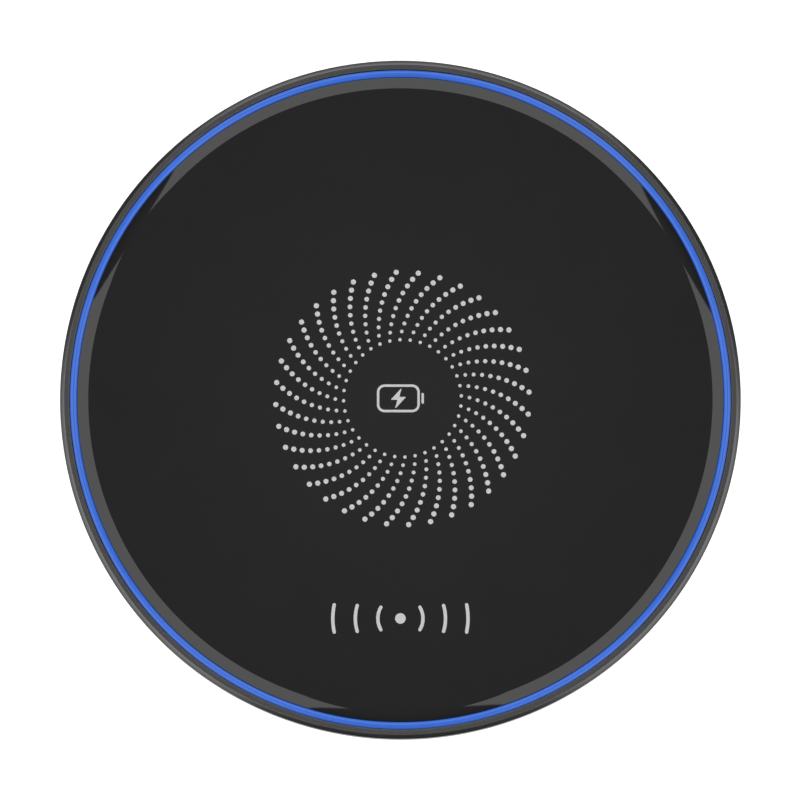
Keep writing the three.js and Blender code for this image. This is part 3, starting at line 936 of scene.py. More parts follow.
# %% [markdown]
# ## The cover
#
# The underside is a moulded plastic plate. Outside it has a rounded edge and a groove for the foot; inside
# it has two rails that carry the board, a web of ribs that keeps the thin floor flat, and four screw bosses.
# Rings are part of one turned outline, and only what isn't round is joined or cut afterwards.

# %% Shape the cover
cover_low, cover_high = box("bottom_cover")
foot_low, foot_high = box("foot_ring")
COVER_FLOOR = 1.9
GROOVE_ROOM = 0.3  # beside the foot
EDGE_ROUND = 0.6
RAILS = ((46.2, 45.2), (28.4, 27.4))  # outer and inner radius of each
RIBS, RIB_TOP, RIB_WIDTH = 16, 2.2, 0.8
cover_radius = cover_high.x
groove_top = box("foot_adhesive")[1].z
foot_outer, foot_inner = foot_high.x, levels("foot_ring")[-1][1]
groove_in, groove_out = foot_inner - GROOVE_ROOM, foot_outer + GROOVE_ROOM

cover_outline = [
    (0, cover_low.z),
    (groove_in, cover_low.z, 0.15),
    (groove_in, groove_top, 0.08),
    (groove_out, groove_top, 0.08),
    (groove_out, cover_low.z, 0.15),
    (cover_radius, cover_low.z, EDGE_ROUND),
    (cover_radius, COVER_FLOOR, 0.1),
]
for rail_out, rail_in in RAILS:
    cover_outline += [(rail_out, COVER_FLOOR, 0.1), (rail_out, cover_high.z, 0.08)]
    cover_outline += [(rail_in, cover_high.z, 0.08), (rail_in, COVER_FLOOR, 0.1)]
cover = turned("cover_plate", [*cover_outline, (0, COVER_FLOOR)])
print("cover radius", round(cover_radius, 2), "groove", round(groove_in, 2), "to", round(groove_out, 2))

# %% Ribs, bosses and screw holes
SCREWS = ["cover_screw_1", "cover_screw_2", "cover_screw_3", "cover_screw_4"]
BOSS_RADIUS = 2.9
COUNTERBORE = (2.1, 1.85)  # radius and height
HOLE_RADIUS = 1.2
OVERLAP = 0.3  # how far a rib or boss reaches into the floor that it is joined to
screw_spots = [((low + high) / 2).xy for low, high in map(box, SCREWS)]

ribs = []
for number in range(RIBS):
    turn = 360 * (number + 0.5) / RIBS
    middle = (RAILS[0][1] + RAILS[1][0]) / 2
    length = RAILS[0][1] - RAILS[1][0] + 0.4
    size = (RIB_WIDTH, length, RIB_TOP - COVER_FLOOR + OVERLAP)
    ribs.append(plate("rib", size, 0.2, place=seated(turn, middle, COVER_FLOOR - OVERLAP), edge=0.1))
bosses, holes = [], []
bore, shoulder = COUNTERBORE
outline = [(0, 0), (bore, 0), (bore, shoulder), (HOLE_RADIUS, shoulder), (HOLE_RADIUS, 3), (0, 3)]
for spot in screw_spots:
    bosses.append(rod("boss", BOSS_RADIUS, COVER_FLOOR - OVERLAP, cover_high.z, spot, edge=0.08))
    holes.append(turned("hole", outline, steps=40, centre=spot))
cover = cut(joined(cover, gathered("bosses", bosses), gathered("ribs", ribs)), gathered("holes", holes))
cover.name = "moulded_cover"
print("cover has", len(cover.data.polygons), "faces,", RIBS, "ribs and", len(holes), "screw holes")

# %% [markdown]
# A black moulding isn't smooth. The mould is spark-eroded so that it leaves a fine even grain, which hides
# scratches and makes the highlights dull and wide. A fine noise gives the grain and its gloss, and a slow
# second one gives the slight changes of tone where the plastic flowed.

# %% Grained black plastic
def grained(name, low, high, grain=0.16, depth=0.02, rough=(0.42, 0.6)):
    """Moulded plastic between two colours, with a grain of that size and depth in millimetres."""
    made = Finish(name, IOR=1.5)
    made.looks(made.noise(9, detail=2, stretch=(1, 1, 2)), low, high)
    fine = made.noise(grain, detail=2)
    made.gloss(fine, *rough)
    made.bump(fine, depth, 0.7)
    return made


cover_plastic = grained("cover_plastic", (0.010, 0.010, 0.011), (0.014, 0.014, 0.015))
show(cover, cover_plastic)
stands_for(cover, "cover_plastic", "bottom_cover")
print("cover finished in", cover_plastic.material.name)

# %% [markdown]
# ## The foot
#
# A silicone ring keeps the pad from sliding. It is stuck into the groove with a double-sided film. Six fine
# grooves run round its underside: they let the silicone give a little, so it grips an uneven table.

# %% Shape the foot
FOOT_GROOVES, FOOT_GROOVE_DEPTH = 6, 0.16
GROOVE_MOUTH, GROOVE_BED = 0.2, 0.1  # half the width of a groove below and at its bed
foot_outline = [(foot_inner, foot_high.z, 0.06), (foot_inner, foot_low.z, 0.25)]
groove_step = (foot_outer - foot_inner) / (FOOT_GROOVES + 1)
groove_bed = foot_low.z + FOOT_GROOVE_DEPTH
for number in range(FOOT_GROOVES):
    middle = foot_inner + groove_step * (number + 1)
    foot_outline += [(middle - GROOVE_MOUTH, foot_low.z, 0.04), (middle - GROOVE_BED, groove_bed, 0.03)]
    foot_outline += [(middle + GROOVE_BED, groove_bed, 0.03), (middle + GROOVE_MOUTH, foot_low.z, 0.04)]
foot_outline += [(foot_outer, foot_low.z, 0.25), (foot_outer, foot_high.z, 0.06)]
foot = turned("silicone_foot", foot_outline, corner_steps=3)
silicone = grained("silicone", (0.018, 0.018, 0.019), (0.026, 0.026, 0.027), 0.3, 0.012, (0.62, 0.8))
silicone.shader.inputs["Sheen Weight"].default_value = 0.15
silicone.shader.inputs["Sheen Roughness"].default_value = 0.5
show(foot, silicone)
stands_for(foot, "silicone", "foot_ring")
print("foot from", round(foot_inner, 2), "to", round(foot_outer, 2), "mm with", FOOT_GROOVES, "grooves")

# %% [markdown]
# Three thin films of adhesive hold the foot, the glass and the coil. Each is a die-cut ring: pale, a little
# translucent, with the fibres of its carrier showing. They are hidden once the pad is shut.

# %% Cut the adhesive films
film = Finish("adhesive_film", Roughness=0.5, IOR=1.47, Subsurface_Weight=0.2, Subsurface_Scale=0.0003)
film.shader.inputs["Subsurface Radius"].default_value = (1, 0.9, 0.8)
fibres = film.noise(0.6, detail=5, roughness=0.7, stretch=(1, 5, 1))
film.looks(fibres, (0.60, 0.58, 0.52), (0.74, 0.72, 0.66), rough=(0.4, 0.62), grain=0.01)
FILM_ROUND = 0.03


def film_ring(name, node):
    """A film as wide and thick as its CAD node."""
    (low, inner, outer), (high, _, _) = levels(node)[0], levels(node)[-1]
    ring = washer(name, inner, outer, low, high, FILM_ROUND)
    show(ring, film)
    return stands_for(ring, "adhesive", node)


film_ring("foot_film", "foot_adhesive")
film_ring("glass_film", "panel_adhesive")
print("two films cut")

# %% [markdown]
# ## The screws
#
# Four small pan-head screws come up through the cover and the board into the mid frame. A thread is a ridge
# that climbs as it turns, so each ring of the shank is a circle whose radius depends on its height and its
# angle together. The cross recess is cut with two tapered blades, as the cold-forming punch would press it.

# %% Form a screw
THREAD_PITCH = 0.45
THREAD_CORE, THREAD_CREST = 0.78, 0.99
THREAD_STEP = 0.045
NECK_RADIUS = 1.02
TIP = ((0.12, 0.6), (0, 0.25))  # how far below the end, and the radius there
RING_SIDES = 32
HEAD = [(1.2, 0), (1.5, 0.03), (1.72, 0.11), (1.83, 0.24), (1.85, 0.4), (1.85, 0.66), (1.82, 0.7)]
screw_low, screw_high = box(SCREWS[0])
neck = screw_low.z + HEAD[-1][1]


def ring_at(height, radius_at):
    """A level ring whose radius may depend on the angle."""
    turns = [math.tau * i / RING_SIDES for i in range(RING_SIDES)]
    return [(radius_at(t) * math.cos(t), radius_at(t) * math.sin(t), height) for t in turns]


def thread_radius(height, angle):
    """High along the ridge, low between: the ridge is where height and angle keep step."""
    phase = (height / THREAD_PITCH - angle / math.tau) % 1
    ridge = max(0.0, 1 - abs(phase - 0.5) * 3.2)
    return THREAD_CORE + (THREAD_CREST - THREAD_CORE) * ridge


rings = [ring_at(screw_low.z + z, lambda t, r=r: r) for r, z in HEAD]
rings += [ring_at(neck, lambda t: NECK_RADIUS), ring_at(neck + 0.08, lambda t: THREAD_CORE)]
thread_start, thread_end = neck + 0.12, screw_high.z - 0.35
thread_steps = round((thread_end - thread_start) / THREAD_STEP)
for step in range(thread_steps + 1):
    height = thread_start + (thread_end - thread_start) * step / thread_steps
    rings.append(ring_at(height, lambda t, h=height: thread_radius(h, t)))
rings += [ring_at(screw_high.z - below, lambda t, r=r: r) for below, r in TIP]
blank = swept("screw_blank", rings)

# %% Press the cross
BLADE = ((-0.1, 1.05, 0.23), (0.46, 0.55, 0.13))  # height over the head, half its length, half its thickness
SCREW_TURN = 0.4, 1.1  # how the first cross happens to stand, and by how much each next one differs


def blade(turned_by):
    """One tapered blade of the cross punch."""
    sections = []
    for rise, long, thick in BLADE:
        corners = [(long, -thick), (long, thick), (-long, thick), (-long, -thick)]
        sections.append([(*(Matrix.Rotation(turned_by, 2) @ Vector(c)), screw_low.z + rise) for c in corners])
    return swept("blade", sections)


blank = cut(blank, blade(0), blade(math.pi / 2))
bright_steel = Finish("bright_steel", Metallic=1.0, Roughness=0.3)
drawn = bright_steel.noise(0.15, detail=3, stretch=(1, 1, 3))
bright_steel.looks(drawn, (0.46, 0.46, 0.47), (0.58, 0.58, 0.59), rough=(0.22, 0.4), grain=0.003)
show(blank, bright_steel)
for number, (node, spot) in enumerate(zip(SCREWS, screw_spots)):
    turn = SCREW_TURN[0] + SCREW_TURN[1] * number
    place = Matrix.Translation((*spot, 0)) @ Matrix.Rotation(turn, 4, "Z")
    stands_for(copied(f"pan_head_{number + 1}", blank, place), "screw_steel", node)
bpy.data.objects.remove(blank)
print(len(SCREWS), "screws,", round((thread_end - thread_start) / THREAD_PITCH), "turns of thread each")

# %% [markdown]
# ## The socket
#
# The lead plugs in at the back. The socket is a folded steel shell with round ends round a thin plastic
# tongue that carries gold contacts on both faces. The shell is lofted from ovals: out along its outside,
# round the lip, and back along the inside. Its seam shows underneath as a fine line that steps round a
# dovetail, and two tabs on each side are soldered to the board.

# %% Fold the shell
SHELL_WALL = 0.3
# The lip's section: how far in from the shell's outside, and how far from its front.
LIP = [(0, -0.14), (0.03, -0.05), (0.1, 0), (0.2, 0), (0.27, -0.05), (SHELL_WALL, -0.14)]
back_y, front_y = shell_low.y, shell_high.y
TAB = Vector((1.5, 1.0, 0.2))  # size of a solder tab
TAB_PLACES = (42.5, 44.6)
SEAM_WIDTH, SEAM_DEPTH, SEAM_ROUND = 0.07, 0.09, 0.12
board_low, board_high = box("circuit_board")

shell_rings = [upright_oval(shell_width, shell_height, back_y)]
for inset, from_front in LIP:
    shell_rings.append(upright_oval(shell_width - 2 * inset, shell_height - 2 * inset, front_y + from_front))
shell_rings.append(upright_oval(shell_width - 2 * SHELL_WALL, shell_height - 2 * SHELL_WALL, back_y))
shell = lofted("folded_shell", shell_rings)
tabs = []
for side in (-1, 1):
    for y in TAB_PLACES:
        middle = (side * (shell_width / 2 + TAB.x / 2 - 0.2), y)
        tabs.append(plate("tab", TAB, 0.2, board_high.z + 0.04, edge=0.05, middle=middle))
shell = joined(shell, gathered("tabs", tabs))

# %% Part the seam
lock = [(0, 44.15), (0.7, 43.95), (0.7, 45.35), (0, 45.15)]
seam = [(0, back_y - 1), *[(*corner, SEAM_ROUND) for corner in lock], (0, front_y + 1)]
seam_line = ribbon(rounded(seam, closed=False), SEAM_WIDTH, ends=3)[::-1]
shell = cut(shell, slab("seam", seam_line, shell_low.z - 1, shell_low.z + SEAM_DEPTH))
shell.name = "folded_shell"
print("shell", round(shell_width, 2), "by", round(shell_height, 2), "mm,", len(shell.data.polygons), "faces")

# %% Plated steel
plated = Finish("plated_steel", Metallic=1.0, Roughness=0.28)
brushed = plated.noise(0.12, detail=4, stretch=(4, 0.4, 4))
plated.looks(brushed, (0.50, 0.49, 0.47), (0.62, 0.61, 0.59), rough=(0.2, 0.36), grain=0.002)
show(shell, plated)
stands_for(shell, "socket_steel", "usb_shell")
print("shell finished in", plated.material.name)

# %% [markdown]
# The tongue is moulded with its contacts in place: twelve above and twelve below, half a millimetre apart.
# Only their gold faces show, a hair proud of the plastic. At the back the same strips leave as solder tails
# that bend down on to the board.

# %% Mould the tongue
tongue_low, tongue_high = box("usb_tongue")
TONGUE_WIDTH = 6.69
TONGUE_THICK = 0.7
TONGUE_FRONT = tongue_high.y
TONGUE_STEP = 43.4  # where the base ends
PLUG_ROOM = SHELL_WALL + 0.06
CONTACTS = 12
CONTACT_PITCH = 0.5
BLADE_NOSE = ((0.3, 0), (0.08, 0.08), (0, 0.22))  # how far from the front, and how much thinner there

base_size = shell_width - 2 * PLUG_ROOM, shell_height - 2 * PLUG_ROOM
base_rings = [upright_oval(*base_size, y) for y in (tongue_low.y, TONGUE_STEP - 0.1)]
base_rings.append(upright_oval(base_size[0] - 0.2, base_size[1] - 0.2, TONGUE_STEP))
blade_rings = []
half_thick = TONGUE_THICK / 2
nose = [(TONGUE_FRONT - back, inset) for back, inset in BLADE_NOSE]
for y, inset in ((TONGUE_STEP - 0.4, 0), *nose):
    x, z = TONGUE_WIDTH / 2 - inset, half_thick - inset
    corners = [(x, -z, 0.1), (x, z, 0.1), (-x, z, 0.1), (-x, -z, 0.1)]
    blade_rings.append([(p.x, y, shell_middle + p.y) for p in rounded(corners, steps=3)])
tongue = joined(swept("moulded_tongue", base_rings), swept("tongue_blade", blade_rings))
tongue.name = "moulded_tongue"
socket_blacks = (0.010, 0.010, 0.011), (0.015, 0.015, 0.016)
socket_plastic = grained("socket_plastic", *socket_blacks, 0.08, 0.004, (0.35, 0.5))
show(tongue, socket_plastic)
stands_for(tongue, "socket_plastic", "usb_tongue")
print("tongue", TONGUE_WIDTH, "mm wide")

# %% Stamp the contacts
CONTACT = Vector((0.26, 3.1, 0.05))
CONTACT_FROM = 45.1
TAIL = ((0.2, 4.0), (-0.35, 4.0), (-0.7, 3.52), (-1.7, 3.47))  # from the shell's back, and height
TAIL_HALF = Vector((0.11, 0.06))

contacts = []
for number in range(CONTACTS):
    x = (number - (CONTACTS - 1) / 2) * CONTACT_PITCH
    middle = (x, CONTACT_FROM + CONTACT.y / 2)
    for face in (half_thick, -half_thick):
        height = shell_middle + face - CONTACT.z / 2
        contacts.append(plate("contact", CONTACT, 0.08, height, edge=0.015, middle=middle))
    sections = []
    for from_back, z in TAIL:
        corners = [(a * TAIL_HALF.x, b * TAIL_HALF.y) for a, b in ((-1, -1), (1, -1), (1, 1), (-1, 1))]
        sections.append([(x + a, back_y + from_back, z + b) for a, b in corners])
    contacts.append(swept("tail", sections))
gold = Finish("gold_plate", Metallic=1.0, Roughness=0.25)
rub = gold.noise(0.3, detail=3, stretch=(1, 0.3, 1))
gold.looks(rub, (0.80, 0.55, 0.20), (0.90, 0.66, 0.28), rough=(0.16, 0.34))
contact_set = show(gathered("socket_contacts", contacts), gold)
stands_for(contact_set, "socket_steel")
print(2 * CONTACTS, "contacts and", CONTACTS, "tails")

# %% [markdown]
# ## The mid frame
#
# One moulding ties the pad together. Its wide flange carries the glass, its well holds the coil over the
# ferrite, flat spokes join the two, and bosses reach down through the board for the screws. A moulding has
# no sharp edge anywhere, so each spoke and boss is rounded before it is joined on.

# %% Shape the mid frame
frame_low, frame_high = box("mid_frame")
FLANGE = (43.6, 47.2, 5.2)  # inner and outer radius, underside
WELL = (25.3, 26.3)
WELL_LIP = (24.0, 0.65)  # inner radius and thickness
SPOKE_WIDTH, SPOKE_THICK = 5, 0.7
SPOKE_STEP = 0.05  # the spokes lie this much below the flange's top
SPOKE_TURNS = (0, 45, 135, 180, 225, 315)
FRAME_BOSS = 2.4
PILOT = (1.1, 5.2)  # radius and top of the screws' pilot holes
FRAME_ROUND = 0.12
SOCKET_HALF, LEAD_HALF = 5.4, 3.8
top, lip_top = frame_high.z, frame_low.z + WELL_LIP[1]

flange = washer("flange", *FLANGE, top, FRAME_ROUND, corner_steps=3)
well_corners = [(WELL_LIP[0], frame_low.z), (WELL[1], frame_low.z), (WELL[1], top), (WELL[0], top)]
well_corners += [(WELL[0], lip_top), (WELL_LIP[0], lip_top)]
well = turned("well", [(*corner, FRAME_ROUND) for corner in well_corners], corner_steps=3)
spokes = []
for turn in SPOKE_TURNS:
    length = FLANGE[0] - WELL[0] + 0.4
    middle = (FLANGE[0] + WELL[0]) / 2 + 0.35
    size = (SPOKE_WIDTH, length, SPOKE_THICK - SPOKE_STEP)
    spokes.append(plate("spoke", size, 0.2, place=seated(turn, middle, top - SPOKE_THICK), edge=0.1))
frame_bosses, pilots = [], []
for spot in screw_spots:
    frame_bosses.append(rod("boss", FRAME_BOSS, board_high.z, top - SPOKE_THICK / 2, spot, edge=0.1))
    pilots.append(rod("pilot", PILOT[0], board_high.z - 1, PILOT[1], spot, sides=32))

# %% Join the frame
mid_frame = joined(flange, gathered("spokes", spokes))
mid_frame = joined(mid_frame, well, gathered("bosses", frame_bosses))
socket_way = plate("way", (2 * SOCKET_HALF, 9, 4), 0.5, FLANGE[2] - 1, middle=(0, back_y - 0.3 + 4.5))
lead_way = plate("way", (2 * LEAD_HALF, 4, 4), 0.5, lip_top, middle=(0, WELL[1] - 0.6))
mid_frame = cut(mid_frame, gathered("pilots", pilots), socket_way, lead_way)
mid_frame.name = "moulded_frame"
frame_blacks = (0.013, 0.013, 0.014), (0.019, 0.019, 0.020)
frame_plastic = grained("frame_plastic", *frame_blacks, 0.25, 0.012, (0.5, 0.65))
show(mid_frame, frame_plastic)
stands_for(mid_frame, "frame_plastic", "mid_frame")
print("mid frame", len(mid_frame.data.polygons), "faces,", len(SPOKE_TURNS), "spokes")

# %% [markdown]
# ## The coil stack
#
# Foam presses a ferrite disc up under the coil; the ferrite turns the field upwards. A ferrite disc is a
# sintered ceramic: matt, dark grey and slightly speckled, with rounded edges, and it has a slot that lets the
# inner end of the wire out from under the coil.

# %% Press the foam
foam_low, foam_high = box("foam_pad")
ferrite_low, ferrite_high = box("ferrite_disc")
NOTCH = (1.7, 7.0, 26)  # width, and where it starts and ends
FOAM_BULGE = 0.15  # how far the foam's edge swells out under the press
COIL_INNER = 10.25  # radius of the coil's eye
lead_x = ((box("coil_lead_inner")[0] + box("coil_lead_inner")[1]) / 2).x

foam_radius, foam_middle = foam_high.x, (foam_low.z + foam_high.z) / 2
foam_face = foam_radius - FOAM_BULGE
foam_outline = [(0, foam_low.z), (foam_face, foam_low.z, 0.1), (foam_radius, foam_middle, 1.5)]
foam_outline += [(foam_face, foam_high.z, 0.1), (0, foam_high.z)]
foam = turned("foam_disc", foam_outline, steps=180)
open_cell = Finish("open_cell_foam", Roughness=0.95, IOR=1.3)
# The hollow middle of each cell is painted darker than its raised rim: painted shade in the pores, over the
# foam's own near-black.
cells = open_cell.node("ShaderNodeTexVoronoi")
cells.inputs["Scale"].default_value = 1 / (0.35 * MM)
open_cell.link(open_cell.place, cells.inputs["Vector"])
open_cell.link(
    open_cell.colours(cells.outputs["Distance"], (0.1, grey(0.008)), (0.6, grey(0.045))),
    open_cell.shader.inputs["Base Color"],
)
open_cell.bump(cells.outputs["Distance"], 0.12)
show(foam, open_cell)
stands_for(foam, "foam", "foam_pad")


def lead_way_cut(low, high):
    """The slot for the wire's inner end, cut from near the middle out past the edge."""
    width, start, end = NOTCH
    middle = (lead_x, (start + end) / 2)
    return plate("slot", (width, end - start, high - low), 0.4, low, middle=middle)


# %% Press and sinter the ferrite
ferrite_corners = [(0, ferrite_low.z), (ferrite_high.x, ferrite_low.z, 0.15)]
ferrite_corners += [(ferrite_high.x, ferrite_high.z, 0.15), (0, ferrite_high.z)]
ferrite = turned("pressed_ferrite", ferrite_corners, steps=180)
ferrite = cut(ferrite, lead_way_cut(ferrite_low.z - 1, ferrite_high.z + 1))
sintered = Finish("sintered_ferrite", IOR=1.8)
speckle = sintered.noise(0.12, detail=4, roughness=0.7)
specks = (0.35, (0.018, 0.018, 0.020)), (0.5, (0.035, 0.035, 0.037)), (0.72, (0.075, 0.075, 0.08))
sintered.link(sintered.colours(speckle, *specks), sintered.shader.inputs["Base Color"])
sintered.gloss(speckle, 0.45, 0.7)
sintered.bump(speckle, 0.01)
show(ferrite, sintered)
stands_for(ferrite, "ferrite", "ferrite_disc")

# %% Cut the coil's film
film_low, film_high = (corner.z for corner in box("coil_adhesive"))
coil_low, coil_high = box("charging_coil")
coil_film = washer("coil_film", COIL_INNER, coil_high.x, film_low, film_high, FILM_ROUND, steps=180)
coil_film = cut(coil_film, lead_way_cut(film_low - 0.5, film_high + 0.5))
show(coil_film, film)
stands_for(coil_film, "adhesive", "coil_adhesive")
print("ferrite", round(2 * ferrite_high.x, 1), "mm across")

# %% [markdown]
# ## The coil
#
# The coil carries a strong alternating current, which keeps to the skin of a wire. So it is wound from litz:
# many fine insulated strands twisted together. It is one wire wound in a flat spiral of ten turns. Here the
# spiral is swept with a lobed section that turns as it goes, which is just what twisted strands look like.

# %% Twist the strands
COIL_TURNS = 10
STRANDS = 9
LOBE_DEPTH = 0.055  # half the depth between two strands, as a share of the wire's radius
TWIST = 7.0  # millimetres of wire for one turn of the twist
WIRE_STEP = 0.75  # millimetres between two sections
WIRE_SIDES = 27
LEAD_RADIUS = 0.45
INNER_START, OUTER_START = 8.1, 22.6  # where along Y the leads take over from the coil's own wire
coil_pitch = (coil_high.x - COIL_INNER) / COIL_TURNS
wire_wide, wire_tall = coil_pitch / 2 - 0.012, (coil_high.z - coil_low.z) / 2 - 0.01
wire_z = (coil_low.z + coil_high.z) / 2


def strand_ring(centre, side, up, wide, tall, twisted):
    """A lobed section: one lobe for each bundle of strands, turned by the twist so far."""
    ring = []
    for i in range(WIRE_SIDES):
        angle = math.tau * i / WIRE_SIDES
        lobe = 1 - LOBE_DEPTH * (1 - math.cos(STRANDS * (angle - twisted)))
        ring.append(centre + side * (wide * lobe * math.cos(angle)) + up * (tall * lobe * math.sin(angle)))
    return ring


def wire(name, path, wide, tall, narrow=0):
    """Sweeps the lobed section along a path, upright; it narrows to a lead's over the end rings."""
    rings, run = [], 0.0
    for i, point in enumerate(path):
        along = (path[min(i + 1, len(path) - 1)] - path[max(i - 1, 0)]).normalized()
        level = Vector((along.x, along.y, 0))
        side = Vector((level.y, -level.x, 0)).normalized() if level.length > 0.05 else Vector((1, 0, 0))
        if i:
            run += (point - path[i - 1]).length
        full = min(1, min(i, len(path) - 1 - i) / narrow) if narrow else 1
        sizes = [LEAD_RADIUS + (size - LEAD_RADIUS) * full for size in (wide, tall)]
        rings.append(strand_ring(point, side, side.cross(along), *sizes, math.tau * run / TWIST))
    return swept(name, rings)


def curve_through(points, pieces=14):
    """A smooth curve through all the points (Catmull-Rom)."""
    padded = [2 * points[0] - points[1], *points, 2 * points[-1] - points[-2]]
    line = []
    for a, b, c, d in zip(padded, padded[1:], padded[2:], padded[3:]):
        for i in range(pieces):
            t = i / pieces
            bend = (2 * a - 5 * b + 4 * c - d) * t**2 + (3 * b - a - 3 * c + d) * t**3
            line.append(0.5 * (2 * b + (c - a) * t + bend))
    return [*line, points[-1]]


# %% Wind the spiral and lead out its ends
spiral, angle = [], math.pi / 2
end_angle = angle + math.tau * (COIL_TURNS - 1)
while angle < end_angle:
    radius = COIL_INNER + coil_pitch / 2 + coil_pitch * (angle - math.pi / 2) / math.tau
    spiral.append(Vector((radius * math.cos(angle), radius * math.sin(angle), wire_z)))
    angle += WIRE_STEP / radius
inner_tail = [Vector((x, y, wire_z)) for x, y in ((lead_x, INNER_START), (2.15, 9.2), (1.5, 10.3))]
outer_tail = [Vector((x, y, wire_z)) for x, y in ((-1.3, 21.15), (-2.05, 21.75), (-lead_x, OUTER_START))]
inner_tail = curve_through([*inner_tail, spiral[0], spiral[1]], 6)[:-7]
outer_tail = curve_through([spiral[-2], spiral[-1], *outer_tail], 6)[7:]
coil_path = [*inner_tail, *spiral, *outer_tail]
coil = wire("litz_coil", coil_path, wire_wide, wire_tall, narrow=12)
coil_length = sum((b - a).length for a, b in zip(coil_path, coil_path[1:]))
print("coil wound from", round(coil_length / 1000, 2), "m of wire in", len(coil_path), "steps")

# %% Enamelled copper
litz = Finish("enamelled_copper", Metallic=0.9, Roughness=0.34)
litz.coat(0.6, 0.15)
strand_tone = litz.noise(0.25, detail=3)
coppers = (0.3, (0.42, 0.13, 0.045)), (0.5, (0.62, 0.22, 0.08)), (0.7, (0.74, 0.32, 0.14))
litz.link(litz.colours(strand_tone, *coppers), litz.shader.inputs["Base Color"])
litz.gloss(strand_tone, 0.26, 0.44)
litz.bump(strand_tone, 0.012)
show(coil, litz)
stands_for(coil, "copper_wire", "charging_coil")

# %% [markdown]
# Both ends of the wire run to pads on the board. The inner end dives through the slots under the coil, and
# the outer end drops off the last turn. Their routes are smooth curves through a few given points.

# %% Run the leads
LEAD_END = (30.5, 3.88)
INNER_ROUTE = [(INNER_START, wire_z), (8.1, 4.75), (9.1, 4.3), (12, 4.25)]
INNER_ROUTE += [(22, 4.25), (26.5, 4.2), (28.6, 3.95)]
OUTER_ROUTE = [(OUTER_START, wire_z), (24, 5.28), (26, 4.95), (28.2, 4.15)]

for name, route, x, node in (
    ("lead_inner", INNER_ROUTE, lead_x, "coil_lead_inner"),
    ("lead_outer", OUTER_ROUTE, -lead_x, "coil_lead_outer"),
):
    lead_path = curve_through([Vector((x, y, z)) for y, z in [*route, LEAD_END]])
    lead = wire(name, lead_path, LEAD_RADIUS, LEAD_RADIUS)
    show(lead, litz)
    stands_for(lead, "copper_wire", node)
print("leads end at", LEAD_END)

# %% [markdown]
# ## The circuit board
#
# The board is a glass-fibre ring with a dark green lacquer. Copper tracks lie under the lacquer and lift it
# a little, so they are modelled as low raised bands: the long rings feed the lamps, and the fans of arcs join
# the chips. Bare pads are tinned. Where a lead is soldered, a small bright fillet stands round it.

# %% Rout the board
board_inner, board_outer = levels("circuit_board")[0][1], board_high.x
BOARD_HOLE = 1.25
SOCKET_ROOM = 0.35  # round the socket where the board is cut away for it
board = washer("board_blank", board_inner, board_outer, board_low.z, board_high.z, 0.05)
below, above = board_low.z - 1, board_high.z + 1
board_holes = [rod("hole", BOARD_HOLE, below, above, spot, sides=32) for spot in screw_spots]
way_size = (shell_width + 2 * SOCKET_ROOM, 9, 4)
way = plate("way", way_size, 0.6, below, middle=(0, back_y - SOCKET_ROOM + way_size[1] / 2))
board = cut(board, gathered("holes", board_holes), way)
board.name = "lacquered_board"

# %% Green lacquer
lacquer = Finish("green_lacquer", IOR=1.55, Roughness=0.32)
lacquer.coat(0.5, 0.12)
glass_cloth = lacquer.noise(0.5, detail=1, stretch=(1, 1, 3))
lacquer.looks(glass_cloth, (0.004, 0.045, 0.018), (0.008, 0.070, 0.028), rough=(0.25, 0.4), grain=0.006)
show(board, lacquer)
stands_for(board, "board", "circuit_board")
print("board from", round(board_inner, 1), "to", round(board_outer, 1), "mm")

# %% Lay the tracks
TRACK_HEIGHT = 0.03
LAMPS = [f"side_led_{i + 1}" for i in range(8)]
LAMP_RINGS = (43.4, 44.0)
LAMP_TRACK = 0.28
TRACK_FANS = (  # tracks, first radius, spacing, start, end, how much shorter each next one is, width
    (6, 33.1, 0.95, 71.5, 108, 0, 0.22),
    (5, 34.2, 0.8, 118, 132, 0.5, 0.25),
    (4, 38.6, 0.8, 138, 176, 0, 0.3),
    (1, 29.2, 0, 88, 26, 0, 1.3),
    (1, 31.2, 0, 92, 152, 0, 1.3),
)
track_z = board_high.z


def arc(radius, start, end, step=2.5):
    """Points on an arc round the pad's middle, from one angle in degrees to another."""
    count = max(2, round(abs(end - start) / step))
    return [polar(radius, start + (end - start) * i / count) for i in range(count + 1)]


def track(points, width):
    return slab("track", ribbon(points, width, ends=4)[::-1], track_z - 0.01, track_z + TRACK_HEIGHT)


tracks = [track(arc(radius, 100, 440), LAMP_TRACK) for radius in LAMP_RINGS]
for node in LAMPS:
    degrees = math.degrees(math.atan2(*((box(node)[0] + box(node)[1]).yx)))
    for radius, shift in zip(LAMP_RINGS, (1.4, -1.4)):
        ends = [polar(radius, degrees + shift), polar(44.9, degrees + shift)]
        tracks.append(track(ends, LAMP_TRACK))
for count, first, spacing, start, end, shorter, width in TRACK_FANS:
    for number in range(count):
        tracks.append(track(arc(first + spacing * number, start, end - shorter * number), width))

# %% Lacquer over copper
track_lacquer = Finish("lacquer_on_copper", IOR=1.55, Roughness=0.3)
track_lacquer.shader.inputs["Coat Weight"].default_value = 0.5
track_tone = track_lacquer.noise(0.8, detail=1)
track_lacquer.looks(track_tone, (0.012, 0.105, 0.038), (0.018, 0.135, 0.050), grain=0.004)
track_set = show(gathered("board_tracks", tracks), track_lacquer)
stands_for(track_set, "board")
print(len(tracks), "tracks")

# %% Bright solder
tin = Finish("bright_solder", Metallic=1.0, Roughness=0.25)
crystals = tin.noise(0.3, detail=3)
tin.looks(crystals, (0.56, 0.56, 0.56), (0.72, 0.72, 0.71), rough=(0.16, 0.4), grain=0.008)

# %% Lay the pads and the leads' solder
PAD_LOW, PAD_TOP = track_z - 0.01, track_z + 0.04
PAD_THICK = 0.05
TEST_PADS = 7
BEAD = ((0, 0.02), (1.15, 0.02, 0.12), (0.8, 0.35, 0.12), (0.62, 0.85, 0.12), (0, 1.05))  # over the board

